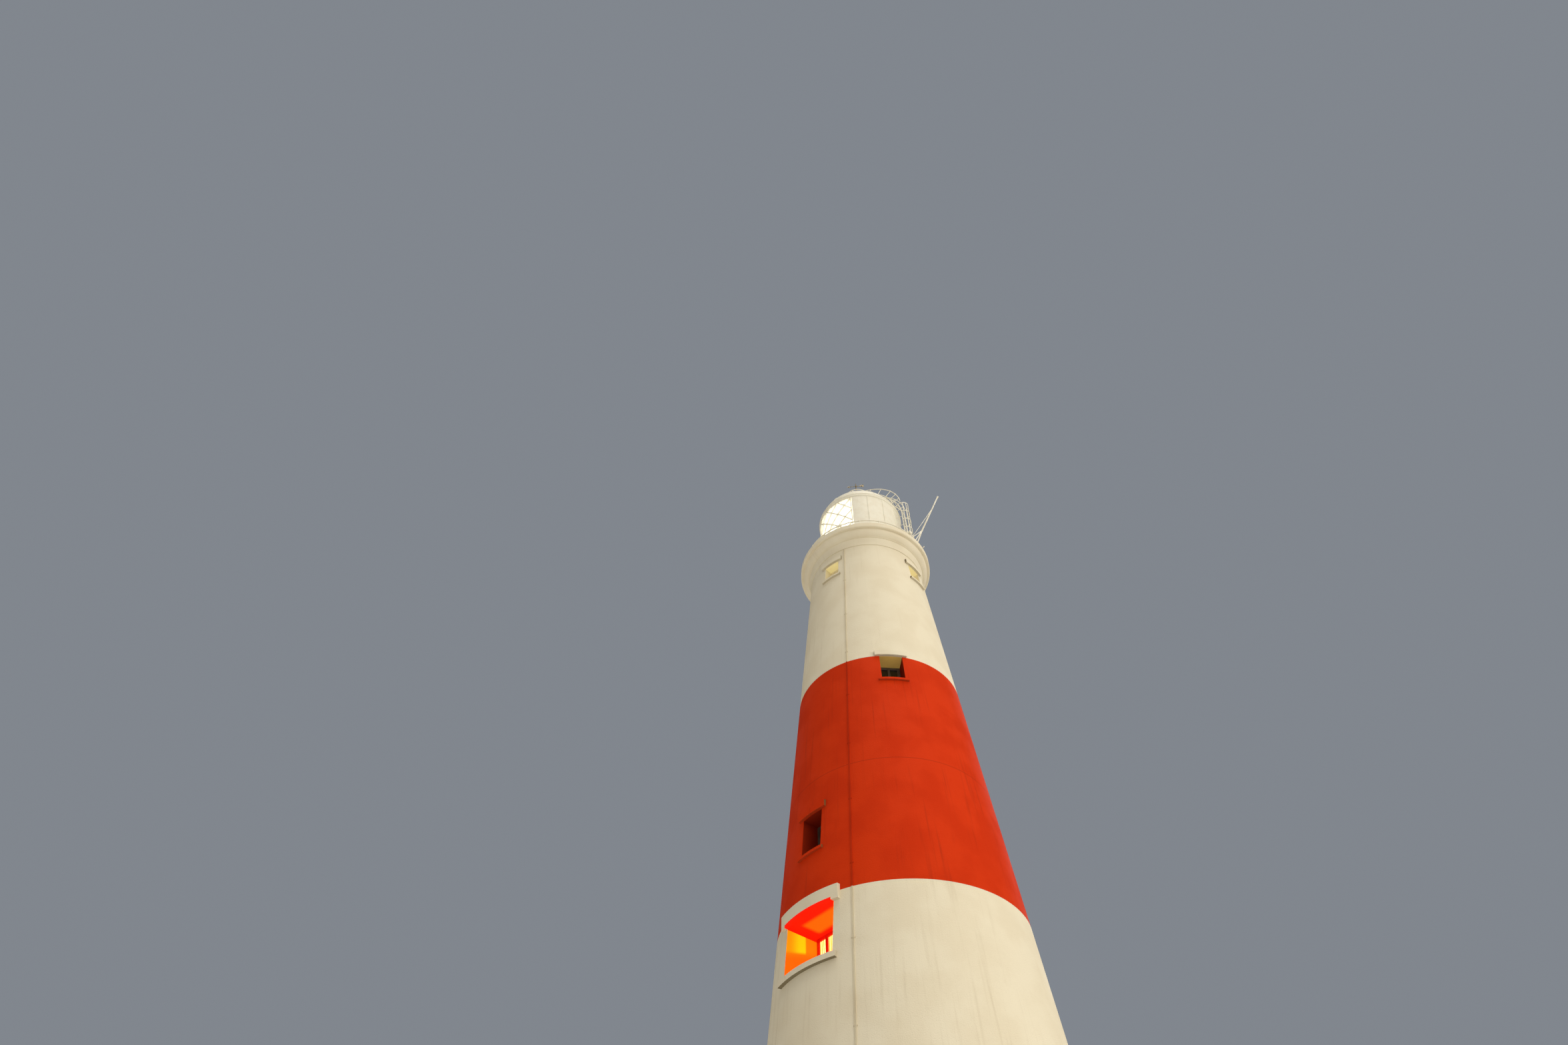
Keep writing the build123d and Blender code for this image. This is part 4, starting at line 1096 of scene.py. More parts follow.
@dataclass(frozen=True)
class Windows:
    """Glazing beads, screws and fastenings for the low-light window and the small ones."""

    shaft: Shaft
    low_light: Opening = Opening(LOW_LIGHT_BEARING, 1.030, 6.650, 7.425, setback=0.600, lights=5)
    stair_low: Opening = Opening(-42.8, 0.458, 8.450, 9.125, setback=0.330, lights=2)
    stair_high: Opening = Opening(11.65, 0.436, 11.730, 12.320, setback=0.330, lights=2)
    watch: Opening = Opening(-33.5, 0.371, 15.315, 15.770, setback=0.200, lights=2)
    bead_lap: float = 0.010
    bead_sink: float = 0.0185
    screws_a_side: int = 5
    screw_margin: float = 0.05

    def beads(self, opening: Opening) -> Shape:
        """A mitred bead round each light: a rounded lip on the frame that turns in to the pane."""
        lap, sink = self.bead_lap, self.bead_sink
        section = [
            (0.0, -0.0005), (0.0, 0.004), (0.003, 0.0075), (0.009, 0.0075), (0.0150, 0.003),
            (0.0170, -0.003), (0.0175, -sink), (lap, -sink), (lap, -0.0005),
        ]
        width = opening.light_width() + 2 * lap
        height = opening.head - opening.foot - 2 * opening.border + 2 * lap
        places = opening.light_middles(self.shaft)
        return tray(width, height, section).stamped(places, outward(opening.bearing))

    def screws(self, opening: Opening) -> Shape:
        """Screw heads up both sides of the frame's border."""
        half = opening.width / 2 - opening.border / 2
        foot, head = opening.foot + self.screw_margin, opening.head - self.screw_margin
        across, levels = combined(BOTH_WAYS * half, np.linspace(foot, head, self.screws_a_side))
        out = outward(opening.bearing)
        places = out * opening.plane(self.shaft) + sideways(opening.bearing) * across[:, None]
        return rivet(0.0045, 0.0022).stamped(places + UPRIGHT * levels[:, None], out)

    def catches(self, opening: Opening) -> Shape:
        """A turned catch on the middle bar: a rose, a stem and a lever that hangs from it."""
        rose = lathe([(0.014, -0.001), (0.014, 0.002), (0.009, 0.005), (0.005, 0.006), (0.005, 0.014)], 12)
        path = [(0.0, 0.004, 0.0115), (0.0, -0.020, 0.0125), (0.0, -0.046, 0.0115), (0.0, -0.052, 0.0105)]
        lever = swept(np.array(path), oblong(0.009, 0.005, 0.0015))
        out = outward(opening.bearing)
        place = out * opening.plane(self.shaft) + UPRIGHT * opening.middle
        return joined(rose, lever).stamped(place, out)

    def small(self) -> tuple[Opening, ...]:
        """The small openings all round the tower."""
        repeats = [(self.stair_low, 2), (self.stair_high, 2), (self.watch, 4)]
        return tuple(
            replace(first, bearing=first.bearing + TURN * turn / count)
            for first, count in repeats
            for turn in range(count)
        )

    def build(self) -> None:
        """The low-light window's trim, then the trim of all the small ones."""
        add_piece("low_light_beads", self.beads(self.low_light), Slot.LOW_LIGHT_PAINT)
        add_piece("low_light_screws", self.screws(self.low_light), Slot.LOW_LIGHT_PAINT)
        small = self.small()
        add_piece("window_beads", joined(*map(self.beads, small)), Slot.FRAME_PAINT)
        add_piece("window_screws", joined(*map(self.screws, small)), Slot.FRAME_PAINT)
        add_piece("window_catches", joined(*map(self.catches, small)), Slot.BRONZE)


@dataclass(frozen=True)
class Hoods:
    """The hoods over the small windows and the doorway, in place of the plainer CAD ones.

    Each is flush with its opening's head and as deep as the photograph's, with a drip groove
    underneath and a weathered top.
    """

    shaft: Shaft
    openings: tuple[Opening, ...]
    depth: float = 0.130
    lap: float = 0.085
    reach: float = 0.045
    bed: float = 0.0004
    clear: float = 0.001
    weathering: float = 0.018
    arris: float = 0.003
    groove: float = 0.007
    door_width: float = 0.560
    door_head: float = 1.280

    def hood(self, bearing: float, width: float, opening_head: float) -> Shape:
        """One hood: a section of wall radius and level, turned about the tower's axis.

        Its half angle is that of half the opening on the wall's circle, plus the lap over the radius.

        Args:
            bearing: the opening's bearing.
            width: its width.
            opening_head: the level of its head.

        Returns:
            The closed hood.
        """
        foot = opening_head + self.clear
        radius, head = self.shaft.radius(foot), foot + self.depth
        half = np.degrees(np.arcsin(width / 2 / radius) + self.lap / radius)
        out, edge, groove = radius + self.reach, self.arris, self.groove
        section = np.array(
            [
                (radius + self.bed, foot), (out - 0.022, foot), (out - 0.020, foot + groove),
                (out - 0.010, foot + groove), (out - 0.008, foot), (out - edge, foot), (out, foot + edge),
                (out, head - self.weathering - edge), (out - edge, head - self.weathering),
                (self.shaft.radius(head) + self.bed, head),
            ]
        )
        bearings = bearing + np.linspace(-half, half, 25)
        return skin(around(section[None, :, 0], section[None, :, 1], bearings[:, None]))

    def build(self) -> None:
        """All the hoods as one piece."""
        shapes = [self.hood(opening.bearing, opening.width, opening.head) for opening in self.openings]
        shapes.append(self.hood(DOOR_BEARING, self.door_width, self.door_head))
        add_piece("moulded_hoods", joined(*shapes), Slot.WHITE_RENDER, ("window_hoods",), BANDED)


@dataclass(frozen=True)
class Doorway:
    """Panel mouldings, hinges, knob and weather bar of the entrance door."""

    leaf_plane: float = 2.149
    foot: float = 0.150
    head: float = 1.2296
    leaf_width: float = 0.4592
    rail: float = 0.075
    hinge_levels: tuple[float, ...] = (0.30, 0.69, 1.08)
    hinge_reach: float = 0.004
    knob_inset: float = 0.035
    knob_level: float = 0.70
    keyhole_level: float = 0.635
    bar_inset: float = 0.004
    bar_rise: float = 0.030

    def at(self, across: Array, level: Array, reach: float = 0.0) -> Array:
        """Points on the leaf's face, moved sideways, up and outwards."""
        across, level = np.broadcast_arrays(np.atleast_1d(across), np.atleast_1d(level))
        side = sideways(DOOR_BEARING) * across[:, None]
        return outward(DOOR_BEARING) * (self.leaf_plane + reach) + side + UPRIGHT * level[:, None]

    def mouldings(self) -> Shape:
        """A mitred ogee round each sunk panel, from the rail's edge down to the panel."""
        middle = (self.foot + self.head) / 2
        spans = [
            (self.foot + self.rail, middle - self.rail / 2),
            (middle + self.rail / 2, self.head - self.rail),
        ]
        section = [
            (-0.006, -0.0005), (-0.005, 0.005), (0.001, 0.006), (0.004, 0.001), (0.008, -0.001),
            (0.013, -0.006), (0.020, -0.0095), (0.0005, -0.0095), (0.0005, -0.0005),
        ]
        width, out = self.leaf_width - 2 * self.rail, outward(DOOR_BEARING)
        borders = [
            tray(width, high - low, section).stamped(self.at(0.0, (low + high) / 2), out)
            for low, high in spans
        ]
        return joined(*borders)

    def hinges(self) -> Shape:
        """Three hinge knuckles at the left edge, each in three rolls with a ball at both ends."""
        profile = [
            (0.004, -0.042), (0.0075, -0.038), (0.0075, -0.014), (0.006, -0.013), (0.006, -0.012),
            (0.0075, -0.011), (0.0075, 0.011), (0.006, 0.012), (0.006, 0.013), (0.0075, 0.014),
            (0.0075, 0.038), (0.004, 0.042),
        ]
        places = self.at(-self.leaf_width / 2, np.array(self.hinge_levels), self.hinge_reach)
        return lathe(profile, 12).stamped(places, UPRIGHT, outward(DOOR_BEARING))

    def knob(self) -> Shape:
        """A rose, a neck and a round knob, over a small keyhole plate."""
        profile = [
            (0.022, -0.001), (0.022, 0.003), (0.016, 0.006), (0.008, 0.008), (0.007, 0.020),
            (0.013, 0.026), (0.0175, 0.034), (0.0165, 0.043), (0.010, 0.049), (0.004, 0.050),
        ]
        plate = lathe([(0.012, -0.001), (0.012, 0.002), (0.010, 0.003)], 16)
        across, out = self.leaf_width / 2 - self.knob_inset, outward(DOOR_BEARING)
        return joined(
            lathe(profile, 20).stamped(self.at(across, self.knob_level), out),
            plate.stamped(self.at(across, self.keyhole_level), out),
        )

    def weather_bar(self) -> Shape:
        """A sloped bar along the door's foot that throws the rain off the sill."""
        half = self.leaf_width / 2 - self.bar_inset
        path = self.at(BOTH_WAYS * half, self.foot + self.bar_rise)
        section = [(-0.014, 0.0), (0.014, 0.0), (0.012, 0.005), (-0.006, 0.022), (-0.012, 0.022)]
        return swept(path, section, outward(DOOR_BEARING))

    def build(self) -> None:
        """The leaf's trim and its furniture."""
        add_piece("door_mouldings", joined(self.mouldings(), self.weather_bar()), Slot.DOOR_PAINT)
        add_piece("door_hinges", self.hinges(), Slot.BRONZE)
        add_piece("door_knob", self.knob(), Slot.BRONZE)


@dataclass(frozen=True)
class Conductor:
    """Clips that hold the lightning conductor's strip to the wall."""

    shaft: Shaft
    bearing: float = -18.9
    width: float = 0.026
    reach: float = 0.012
    play: float = 0.0025
    clip_thickness: float = 0.003
    clip_rise: float = 0.022
    foot_width: float = 0.016
    first: float = 0.90
    spacing: float = 1.17
    count: int = 13

    def build(self) -> None:
        """A strap bent over the strip at each level, with a screw in each of its two feet."""
        half, top = self.width / 2 + self.play, self.reach + self.clip_thickness
        end = half + self.foot_width
        outline = np.array([(-end, 0.0), (-half, 0.0), (-half, top), (half, top), (half, 0.0), (end, 0.0)])
        out, rise = self.shaft.lean(self.bearing)
        side = sideways(self.bearing)
        path = outline[:, :1] * side + (outline[:, 1:] + 0.001) * out
        strap = swept(path, oblong(self.clip_thickness, self.clip_rise, 0.001), rise)
        levels = self.first + self.spacing * np.arange(self.count)
        places = around(self.shaft.radius(levels), levels, self.bearing)
        straps = repeated(places[:, None] + strap.points, strap.corners, strap.counts)
        across = BOTH_WAYS * (half + self.foot_width / 2)
        spots = [places + reach * side + 0.0025 * out for reach in across]
        screws = [rivet(0.0042, 0.003).stamped(spot, out) for spot in spots]
        add_piece("conductor_clips", joined(straps, *screws), Slot.WHITE_METAL, material=STRIP)


def post_foot() -> Shape:
    """A stepped flange with four nuts, drawn for one post on the origin."""
    profile = [
        (0.030, -0.001), (0.030, 0.005), (0.027, 0.007), (0.017, 0.008), (0.0135, 0.022), (0.0125, 0.023),
    ]
    bolts = around(0.0235, 0.006, bearings_round(4, 135.0))
    return joined(lathe(profile, 16), nut(0.0034, 0.004).standing(bolts))


@dataclass(frozen=True)
class GalleryRail:
    """Foot flanges, bolts, collars and balls for the posts of the gallery's rail."""

    posts: int = 20
    ball_radius: float = 0.021

    def build(self) -> None:
        """A flange at each post's foot, and a ball and collar where it meets the rail."""
        bearings = bearings_round(self.posts)
        feet = post_foot().stamped(around(RAIL_RADIUS, KERB_LEVEL, bearings), UPRIGHT, outward(bearings))
        collar = lathe([(0.0118, -0.036), (0.0155, -0.034), (0.0155, -0.024), (0.0118, -0.019)], 12)
        joint = joined(ball(self.ball_radius, 16), collar)
        joints = joint.standing(around(RAIL_RADIUS, RAIL_LEVEL, bearings))
        add_piece("gallery_rail_feet", feet, Slot.WHITE_METAL)
        add_piece("gallery_rail_joints", joints, Slot.WHITE_METAL)


@dataclass(frozen=True)
class LanternWall:
    """Rivets, lap straps and round ventilators of the lantern's low iron wall."""

    cap: float = 16.955
    cap_reach: float = 0.016
    straps: int = 16
    strap_start: float = 3.25
    rivet_pairs: int = 9
    cap_rivets: int = 96
    vents: int = 8
    vent_level: float = 16.70
    slides: int = 8

    def strap(self) -> Shape:
        """Flat straps up the wall's joints, each carried up from the deck to the cap."""
        bearings = bearings_round(self.straps, self.strap_start)
        section, radius = oblong(0.040, 0.008, 0.002), LANTERN_RADIUS + 0.003
        feet, heads = (around(radius, level, bearings) for level in (DECK_LEVEL + 0.035, self.cap - 0.004))
        paths = np.stack([feet, heads], axis=1)
        return joined(*(swept(path, section, outward(bearing)) for path, bearing in zip(paths, bearings)))

    def rivets(self) -> Shape:
        """Heads in two rows up each strap, and in one row round the wall under the cap."""
        levels = np.linspace(DECK_LEVEL + 0.065, self.cap - 0.045, self.rivet_pairs)
        straps = bearings_round(self.straps, self.strap_start)
        bearings, levels, way = combined(straps, levels, BOTH_WAYS)
        places = around(LANTERN_RADIUS + 0.007, levels, bearings)
        places = places + (0.011 * way)[:, None] * sideways(bearings)
        row = bearings_round(self.cap_rivets, 1.0)
        head = rivet(0.0055, 0.004)
        return joined(
            head.stamped(places, outward(bearings)),
            head.facing_out(LANTERN_RADIUS, self.cap - 0.022, row),
        )

    def ventilators(self) -> Shape:
        """A round plate with a rolled rim, a hub and eight raised slides between them."""
        profile = [
            (0.062, -0.001), (0.062, 0.006), (0.058, 0.010), (0.053, 0.008), (0.051, 0.004),
            (0.016, 0.004), (0.014, 0.010), (0.009, 0.013), (0.003, 0.014),
        ]
        slide = swept(np.array([(0.021, 0.0, 0.005), (0.047, 0.0, 0.005)]), oblong(0.012, 0.006, 0.002))
        turns = [np.array(Matrix.Rotation(np.radians(turn), 3, "Z")) for turn in bearings_round(self.slides)]
        vent = joined(lathe(profile), *(replace(slide, points=slide.points @ turn) for turn in turns))
        bearings = bearings_round(self.vents, self.strap_start + TURN / self.straps / 2)
        return vent.facing_out(LANTERN_RADIUS - 0.001, self.vent_level, bearings)

    def build(self) -> None:
        """The wall's straps, rivets, ventilators and two thin beads round it."""
        beads = joined(
            hoop(LANTERN_RADIUS + self.cap_reach - 0.001, self.cap + 0.022, disc(0.009)),
            hoop(LANTERN_RADIUS + 0.002, DECK_LEVEL + 0.014, oblong(0.028, 0.014, 0.004)),
        )
        add_piece("lantern_wall_beads", beads, Slot.LANTERN_PAINT)
        add_piece("lantern_wall_straps", self.strap(), Slot.LANTERN_PAINT)
        add_piece("lantern_wall_rivets", self.rivets(), Slot.LANTERN_PAINT)
        add_piece("lantern_wall_ventilators", self.ventilators(), Slot.BRONZE)


@dataclass(frozen=True)
class Glazing:
    """Rivets of the blank plates, and bosses at the crossings of the diamond lattice."""

    lap_radius: float = 1.034
    foot: float = 17.000
    head: float = 18.450
    blank_start: float = -8.0
    glass_start: float = 172.0
    bays: int = 8
    tiers: int = 3
    lap_rivets: int = 29
    edge_rivets: int = 9
    bolt_step: float = 0.16

    @property
    def bay(self) -> float:
        """The angle of one bay: the plates and the glass each go half round the lantern."""
        return TURN / 2 / self.bays

    def inset_levels(self, inset: float, count: int = 2) -> Array:
        """Even levels between a little over the foot and as much under the head."""
        return np.linspace(self.foot + inset, self.head - inset, count)

    def plate_rivets(self) -> Shape:
        """Two rows up each lap strip, and a row along the plates' foot and head."""
        head = rivet(0.0045, 0.0032)
        laps = self.blank_start + self.bay * np.arange(1, self.bays)
        bearings, levels, way = combined(laps, self.inset_levels(0.03, self.lap_rivets), BOTH_WAYS)
        places = around(self.lap_radius, levels, bearings) + (0.0095 * way)[:, None] * sideways(bearings)
        up_laps = head.stamped(places, outward(bearings))
        steps = np.arange(self.bays)[:, None] + np.linspace(0.14, 0.86, self.edge_rivets)
        bearings, levels = combined(self.blank_start + self.bay * steps, self.inset_levels(0.02))
        return joined(up_laps, head.facing_out(GLAZING_RADIUS, levels, bearings))

    def crossings(self) -> tuple[Array, Array]:
        """The bearing and level of each place where two bars of the lattice cross."""
        tier = (self.head - self.foot) / self.tiers
        in_bays = combined(np.arange(self.bays) + 0.5, np.arange(self.tiers) + 0.5)
        on_edges = combined(np.arange(1, self.bays), np.arange(1, self.tiers))
        bay_steps, tier_steps = np.concatenate([in_bays, on_edges], axis=1)
        return self.glass_start + self.bay * bay_steps, self.foot + tier * tier_steps

    def bosses(self) -> Shape:
        """A round cast boss with a nut on each crossing."""
        bearings, levels = self.crossings()
        profile = [(0.026, -0.010), (0.026, 0.003), (0.022, 0.006), (0.012, 0.008), (0.011, 0.009)]
        boss = joined(lathe(profile, 16), nut(0.008, 0.007).standing(0.008 * UPRIGHT))
        return boss.facing_out(GLAZING_RADIUS, levels, bearings)

    def sill_bolts(self) -> Shape:
        """Bolt heads along the lattice's foot and head rings, two to each end of a bar."""
        steps = np.arange(1, self.bays)[:, None] + BOTH_WAYS * self.bolt_step
        bearings, levels = combined(steps * self.bay + self.glass_start, self.inset_levels(0.012))
        return nut(0.0055, 0.005).facing_out(GLAZING_RADIUS, levels, bearings)

    def build(self) -> None:
        """The plates' rivets, then the lattice's bosses and bolts."""
        add_piece("blank_plate_rivets", self.plate_rivets(), Slot.LANTERN_PAINT)
        add_piece("lattice_bosses", self.bosses(), Slot.LANTERN_PAINT)
        add_piece("lattice_bolts", self.sill_bolts(), Slot.LANTERN_PAINT)


@dataclass(frozen=True)
class Roof:
    """Moulding and bolts of the gutter, ribs and rivets of the dome, and the ventilator's trim."""

    gutter_foot: float = 18.450
    gutter_head: float = 18.550
    gutter_bolts: int = 64
    ribs: int = 12
    rib_start: float = 85.0
    seat_radius: float = 0.230
    seat_level: float = 19.325
    seat_bolts: int = 16
    drum_radius: float = 0.190
    drum_top: float = 19.700
    cowl_radius: float = 0.265
    louvre_half: float = 0.030
    louvre_levels: tuple[float, ...] = (19.50, 19.57, 19.64)
    louvres_round: int = 12

    def rib_path(self, bearing: float, lift: float, count: int = 24) -> Array:
        """Points up the dome: radius R cos t at level centre + R sin t, from the gutter to the seat."""
        low = np.arcsin((self.gutter_head + 0.006 - DOME_CENTRE) / DOME_RADIUS)
        high = np.arccos((self.seat_radius + 0.008) / DOME_RADIUS)
        turn = np.linspace(low, high, count)
        radius = DOME_RADIUS + lift
        return around(radius * np.cos(turn), DOME_CENTRE + radius * np.sin(turn), bearing)

    def ribs_on_dome(self) -> Shape:
        """A low batten over each joint of the roof's plates."""
        section = oblong(0.030, 0.007, 0.002)
        paths = [self.rib_path(bearing, 0.002) for bearing in bearings_round(self.ribs, self.rib_start)]
        return joined(*(swept(path, section, path - DOME_CENTRE * UPRIGHT) for path in paths))

    def rivets_on_dome(self) -> Shape:
        """Rivets down the middle of each batten, their axes square to the dome."""
        bearings = bearings_round(self.ribs, self.rib_start)
        places = np.concatenate([self.rib_path(bearing, 0.0055, 30)[1:-1] for bearing in bearings])
        return rivet(0.0050, 0.0035).stamped(places, unit(places - DOME_CENTRE * UPRIGHT))

    def gutter_trim(self) -> Shape:
        """A half-round bead and a row of bolt heads round the gutter."""
        bead = hoop(LANTERN_RADIUS, self.gutter_head - 0.010, disc(0.008))
        row = bearings_round(self.gutter_bolts, 1.5)
        return joined(bead, nut(0.0055, 0.005).facing_out(LANTERN_RADIUS, self.gutter_foot + 0.055, row))

    def louvres(self) -> Shape:
        """Rows of pressed hoods round the drum: each a wedge that opens downwards."""
        section = np.array([(-0.004, 0.018), (0.002, 0.019), (0.022, 0.0), (0.022, -0.003), (-0.004, -0.003)])
        grid = np.zeros((2, len(section), 3))
        grid[:, :, 0] = BOTH_WAYS[:, None] * self.louvre_half
        grid[:, :, 1] = section[None, :, 0] - 0.008
        grid[:, :, 2] = section[None, :, 1]
        bearings, levels = combined(bearings_round(self.louvres_round), self.louvre_levels)
        return skin(grid).facing_out(self.drum_radius, levels, bearings)

    def ventilator_trim(self) -> Shape:
        """Rolled edges on the cowl and the drum's foot, a ring of bolts and a collar at the ball."""
        row = bearings_round(self.seat_bolts)
        bolts = nut(0.006, 0.006).facing_out(self.seat_radius, self.seat_level + 0.010, row)
        return joined(
            hoop(self.cowl_radius, self.drum_top + 0.030, disc(0.008), 64),
            hoop(self.drum_radius + 0.001, self.drum_top - 0.018, disc(0.006, 8), 64),
            hoop(self.drum_radius + 0.001, self.seat_level + 0.085, disc(0.006, 8), 64),
            bolts,
            lathe([(0.060, 19.945), (0.062, 19.952), (0.056, 19.962), (0.050, 19.964)]),
        )

    def build(self) -> None:
        """The gutter's trim, the dome's ribs and rivets, and the ventilator's louvres and rings."""
        add_piece("gutter_trim", self.gutter_trim(), Slot.LANTERN_PAINT)
        add_piece("dome_ribs", self.ribs_on_dome(), Slot.LANTERN_PAINT)
        add_piece("dome_rivets", self.rivets_on_dome(), Slot.LANTERN_PAINT)
        add_piece("ventilator_louvres", self.louvres(), Slot.LANTERN_PAINT)
        add_piece("ventilator_trim", self.ventilator_trim(), Slot.LANTERN_PAINT)


@dataclass(frozen=True)
class Vane:
    """Collars on the vane's spindle and the rivets of its tail."""

    level: float = 20.380
    ring_levels: tuple[float, ...] = (20.105, 20.24)
    rivet_reaches: tuple[float, ...] = (0.100, 0.140, 0.180)
    tail_half: float = 0.005

    def build(self) -> None:
        """A boss where the arrow crosses the spindle, rings down to the ball, and rivets on both faces."""
        boss = np.array(
            [
                (0.013, -0.030), (0.019, -0.026), (0.019, -0.012), (0.026, -0.006), (0.026, 0.006),
                (0.019, 0.012), (0.019, 0.024), (0.013, 0.028),
            ]
        )
        ring = [(0.013, -0.010), (0.021, -0.006), (0.021, 0.006), (0.013, 0.010)]
        rings = np.array(self.ring_levels)[:, None] * UPRIGHT
        faces = BOTH_WAYS * self.tail_half
        rows = np.array([(x, y, self.level) for x in self.rivet_reaches for y in faces])
        axes = np.sign(rows[:, 1:2]) * np.array([0.0, 1.0, 0.0])
        fittings = joined(
            lathe(boss + (0.0, self.level), 20),
            lathe(ring, 16).standing(rings),
            rivet(0.005, 0.003).stamped(rows, axes),
        )
        add_piece("vane_fittings", fittings, Slot.BRONZE)


@dataclass(frozen=True)
class LadderAndCage:
    """Welds, feet and stay plates of the ladder, and the rivets of its cage."""

    radius: float = 1.186
    half_width: float = 0.127
    rung_pitch: float = 0.150
    upright_rungs: int = 12
    arc_rungs: int = 9
    weld_inset: float = 0.011
    wall_stays: tuple[tuple[float, float], ...] = (
        (LANTERN_RADIUS, 16.900), (GLAZING_RADIUS, 17.500), (GLAZING_RADIUS, 18.100),
    )
    dome_stays: tuple[float, ...] = (32.0, 48.0, 64.0)
    cage_centre: float = 1.2064
    cage_radius: float = 0.140
    cage_straps: tuple[float, ...] = (-72.0, -36.0, 0.0, 36.0, 72.0)
    hoop_foot: float = 17.282
    hoop_pitch: float = 0.337
    hoop_height: float = 0.022
    hoops: int = 5

    @property
    def out(self) -> Array:
        """The level direction from the tower's axis to the ladder."""
        return outward(LADDER_BEARING)

    @property
    def side(self) -> Array:
        """The level direction along the rungs."""
        return sideways(LADDER_BEARING)

    def on_ladder(self, along: Array) -> Array:
        """Middle points of the ladder: straight up to the dome's centre level, then round the arc."""
        rise = np.minimum(along, DOME_CENTRE - DECK_LEVEL)
        turn = (along - rise) / self.radius
        reach, level = self.radius * np.cos(turn), DECK_LEVEL + rise + self.radius * np.sin(turn)
        return around(reach, level, LADDER_BEARING)

    def welds(self) -> Shape:
        """A small collar on each rung where it enters a stile."""
        upright = self.rung_pitch * np.arange(1, self.upright_rungs + 1)
        over = DOME_CENTRE - DECK_LEVEL + self.rung_pitch * np.arange(1, self.arc_rungs + 1)
        middles = self.on_ladder(np.concatenate([upright, over]))
        collar = lathe([(0.006, -0.004), (0.0095, -0.002), (0.0095, 0.001), (0.007, 0.004)], 10)
        reach = self.half_width - self.weld_inset
        sides = BOTH_WAYS[:, None] * self.side
        return joined(*(collar.stamped(middles + reach * side, -side) for side in sides))

    def feet(self) -> Shape:
        """A bolted flange under each stile, on the deck."""
        places = self.on_ladder(np.zeros(1)) + BOTH_WAYS[:, None] * self.half_width * self.side
        return post_foot().stamped(places, UPRIGHT, self.out)

    def stay_plates(self) -> Shape:
        """A round plate with a nut where each stay meets the lantern's wall, plates or dome.

        Seen from the axis or the dome's centre, a plate's way from there is sqrt(R^2 - w^2) outwards
        and w sideways, so that it is square to the skin of radius R.
        """
        plate = lathe([(0.019, -0.004), (0.019, 0.003), (0.015, 0.005), (0.0085, 0.006), (0.008, 0.010)], 14)
        shapes = []
        for skin_radius, level in self.wall_stays:
            for across in BOTH_WAYS * self.half_width:
                offset = self.out * np.sqrt(skin_radius**2 - across**2) + self.side * across
                shapes.append(plate.stamped(offset + UPRIGHT * level, unit(offset)))
        for angle in np.radians(self.dome_stays):
            way_out = self.out * np.cos(angle) + UPRIGHT * np.sin(angle)
            for across in BOTH_WAYS * self.half_width:
                offset = way_out * np.sqrt(DOME_RADIUS**2 - across**2) + self.side * across
                shapes.append(plate.stamped(offset + UPRIGHT * DOME_CENTRE, unit(offset), self.side))
        return joined(*shapes)

    def cage_rivets(self) -> Shape:
        """A domed head on each hoop over each strap, and a nut on each toe against the stiles."""
        hoops = self.hoop_foot + self.hoop_height / 2 + self.hoop_pitch * np.arange(self.hoops)
        bearings, levels = combined(np.array(self.cage_straps) + LADDER_BEARING, hoops)
        places = self.out * self.cage_centre + outward(bearings) * self.cage_radius
        places[:, 2] = levels
        heads = rivet(0.0055, 0.004).stamped(places, outward(bearings))
        spots = self.out * (self.cage_centre - 0.003) + UPRIGHT * hoops[:, None]
        toes = [
            nut(0.0055, 0.006).stamped(spots + across * self.side, self.out)
            for across in BOTH_WAYS * self.half_width
        ]
        return joined(heads, *toes)

    def build(self) -> None:
        """The ladder's fittings, then the cage's rivets."""
        add_piece("ladder_welds", self.welds(), Slot.WHITE_METAL)
        add_piece("ladder_feet", self.feet(), Slot.WHITE_METAL)
        add_piece("ladder_stay_plates", self.stay_plates(), Slot.WHITE_METAL)
        add_piece("cage_rivets", self.cage_rivets(), Slot.WHITE_METAL)


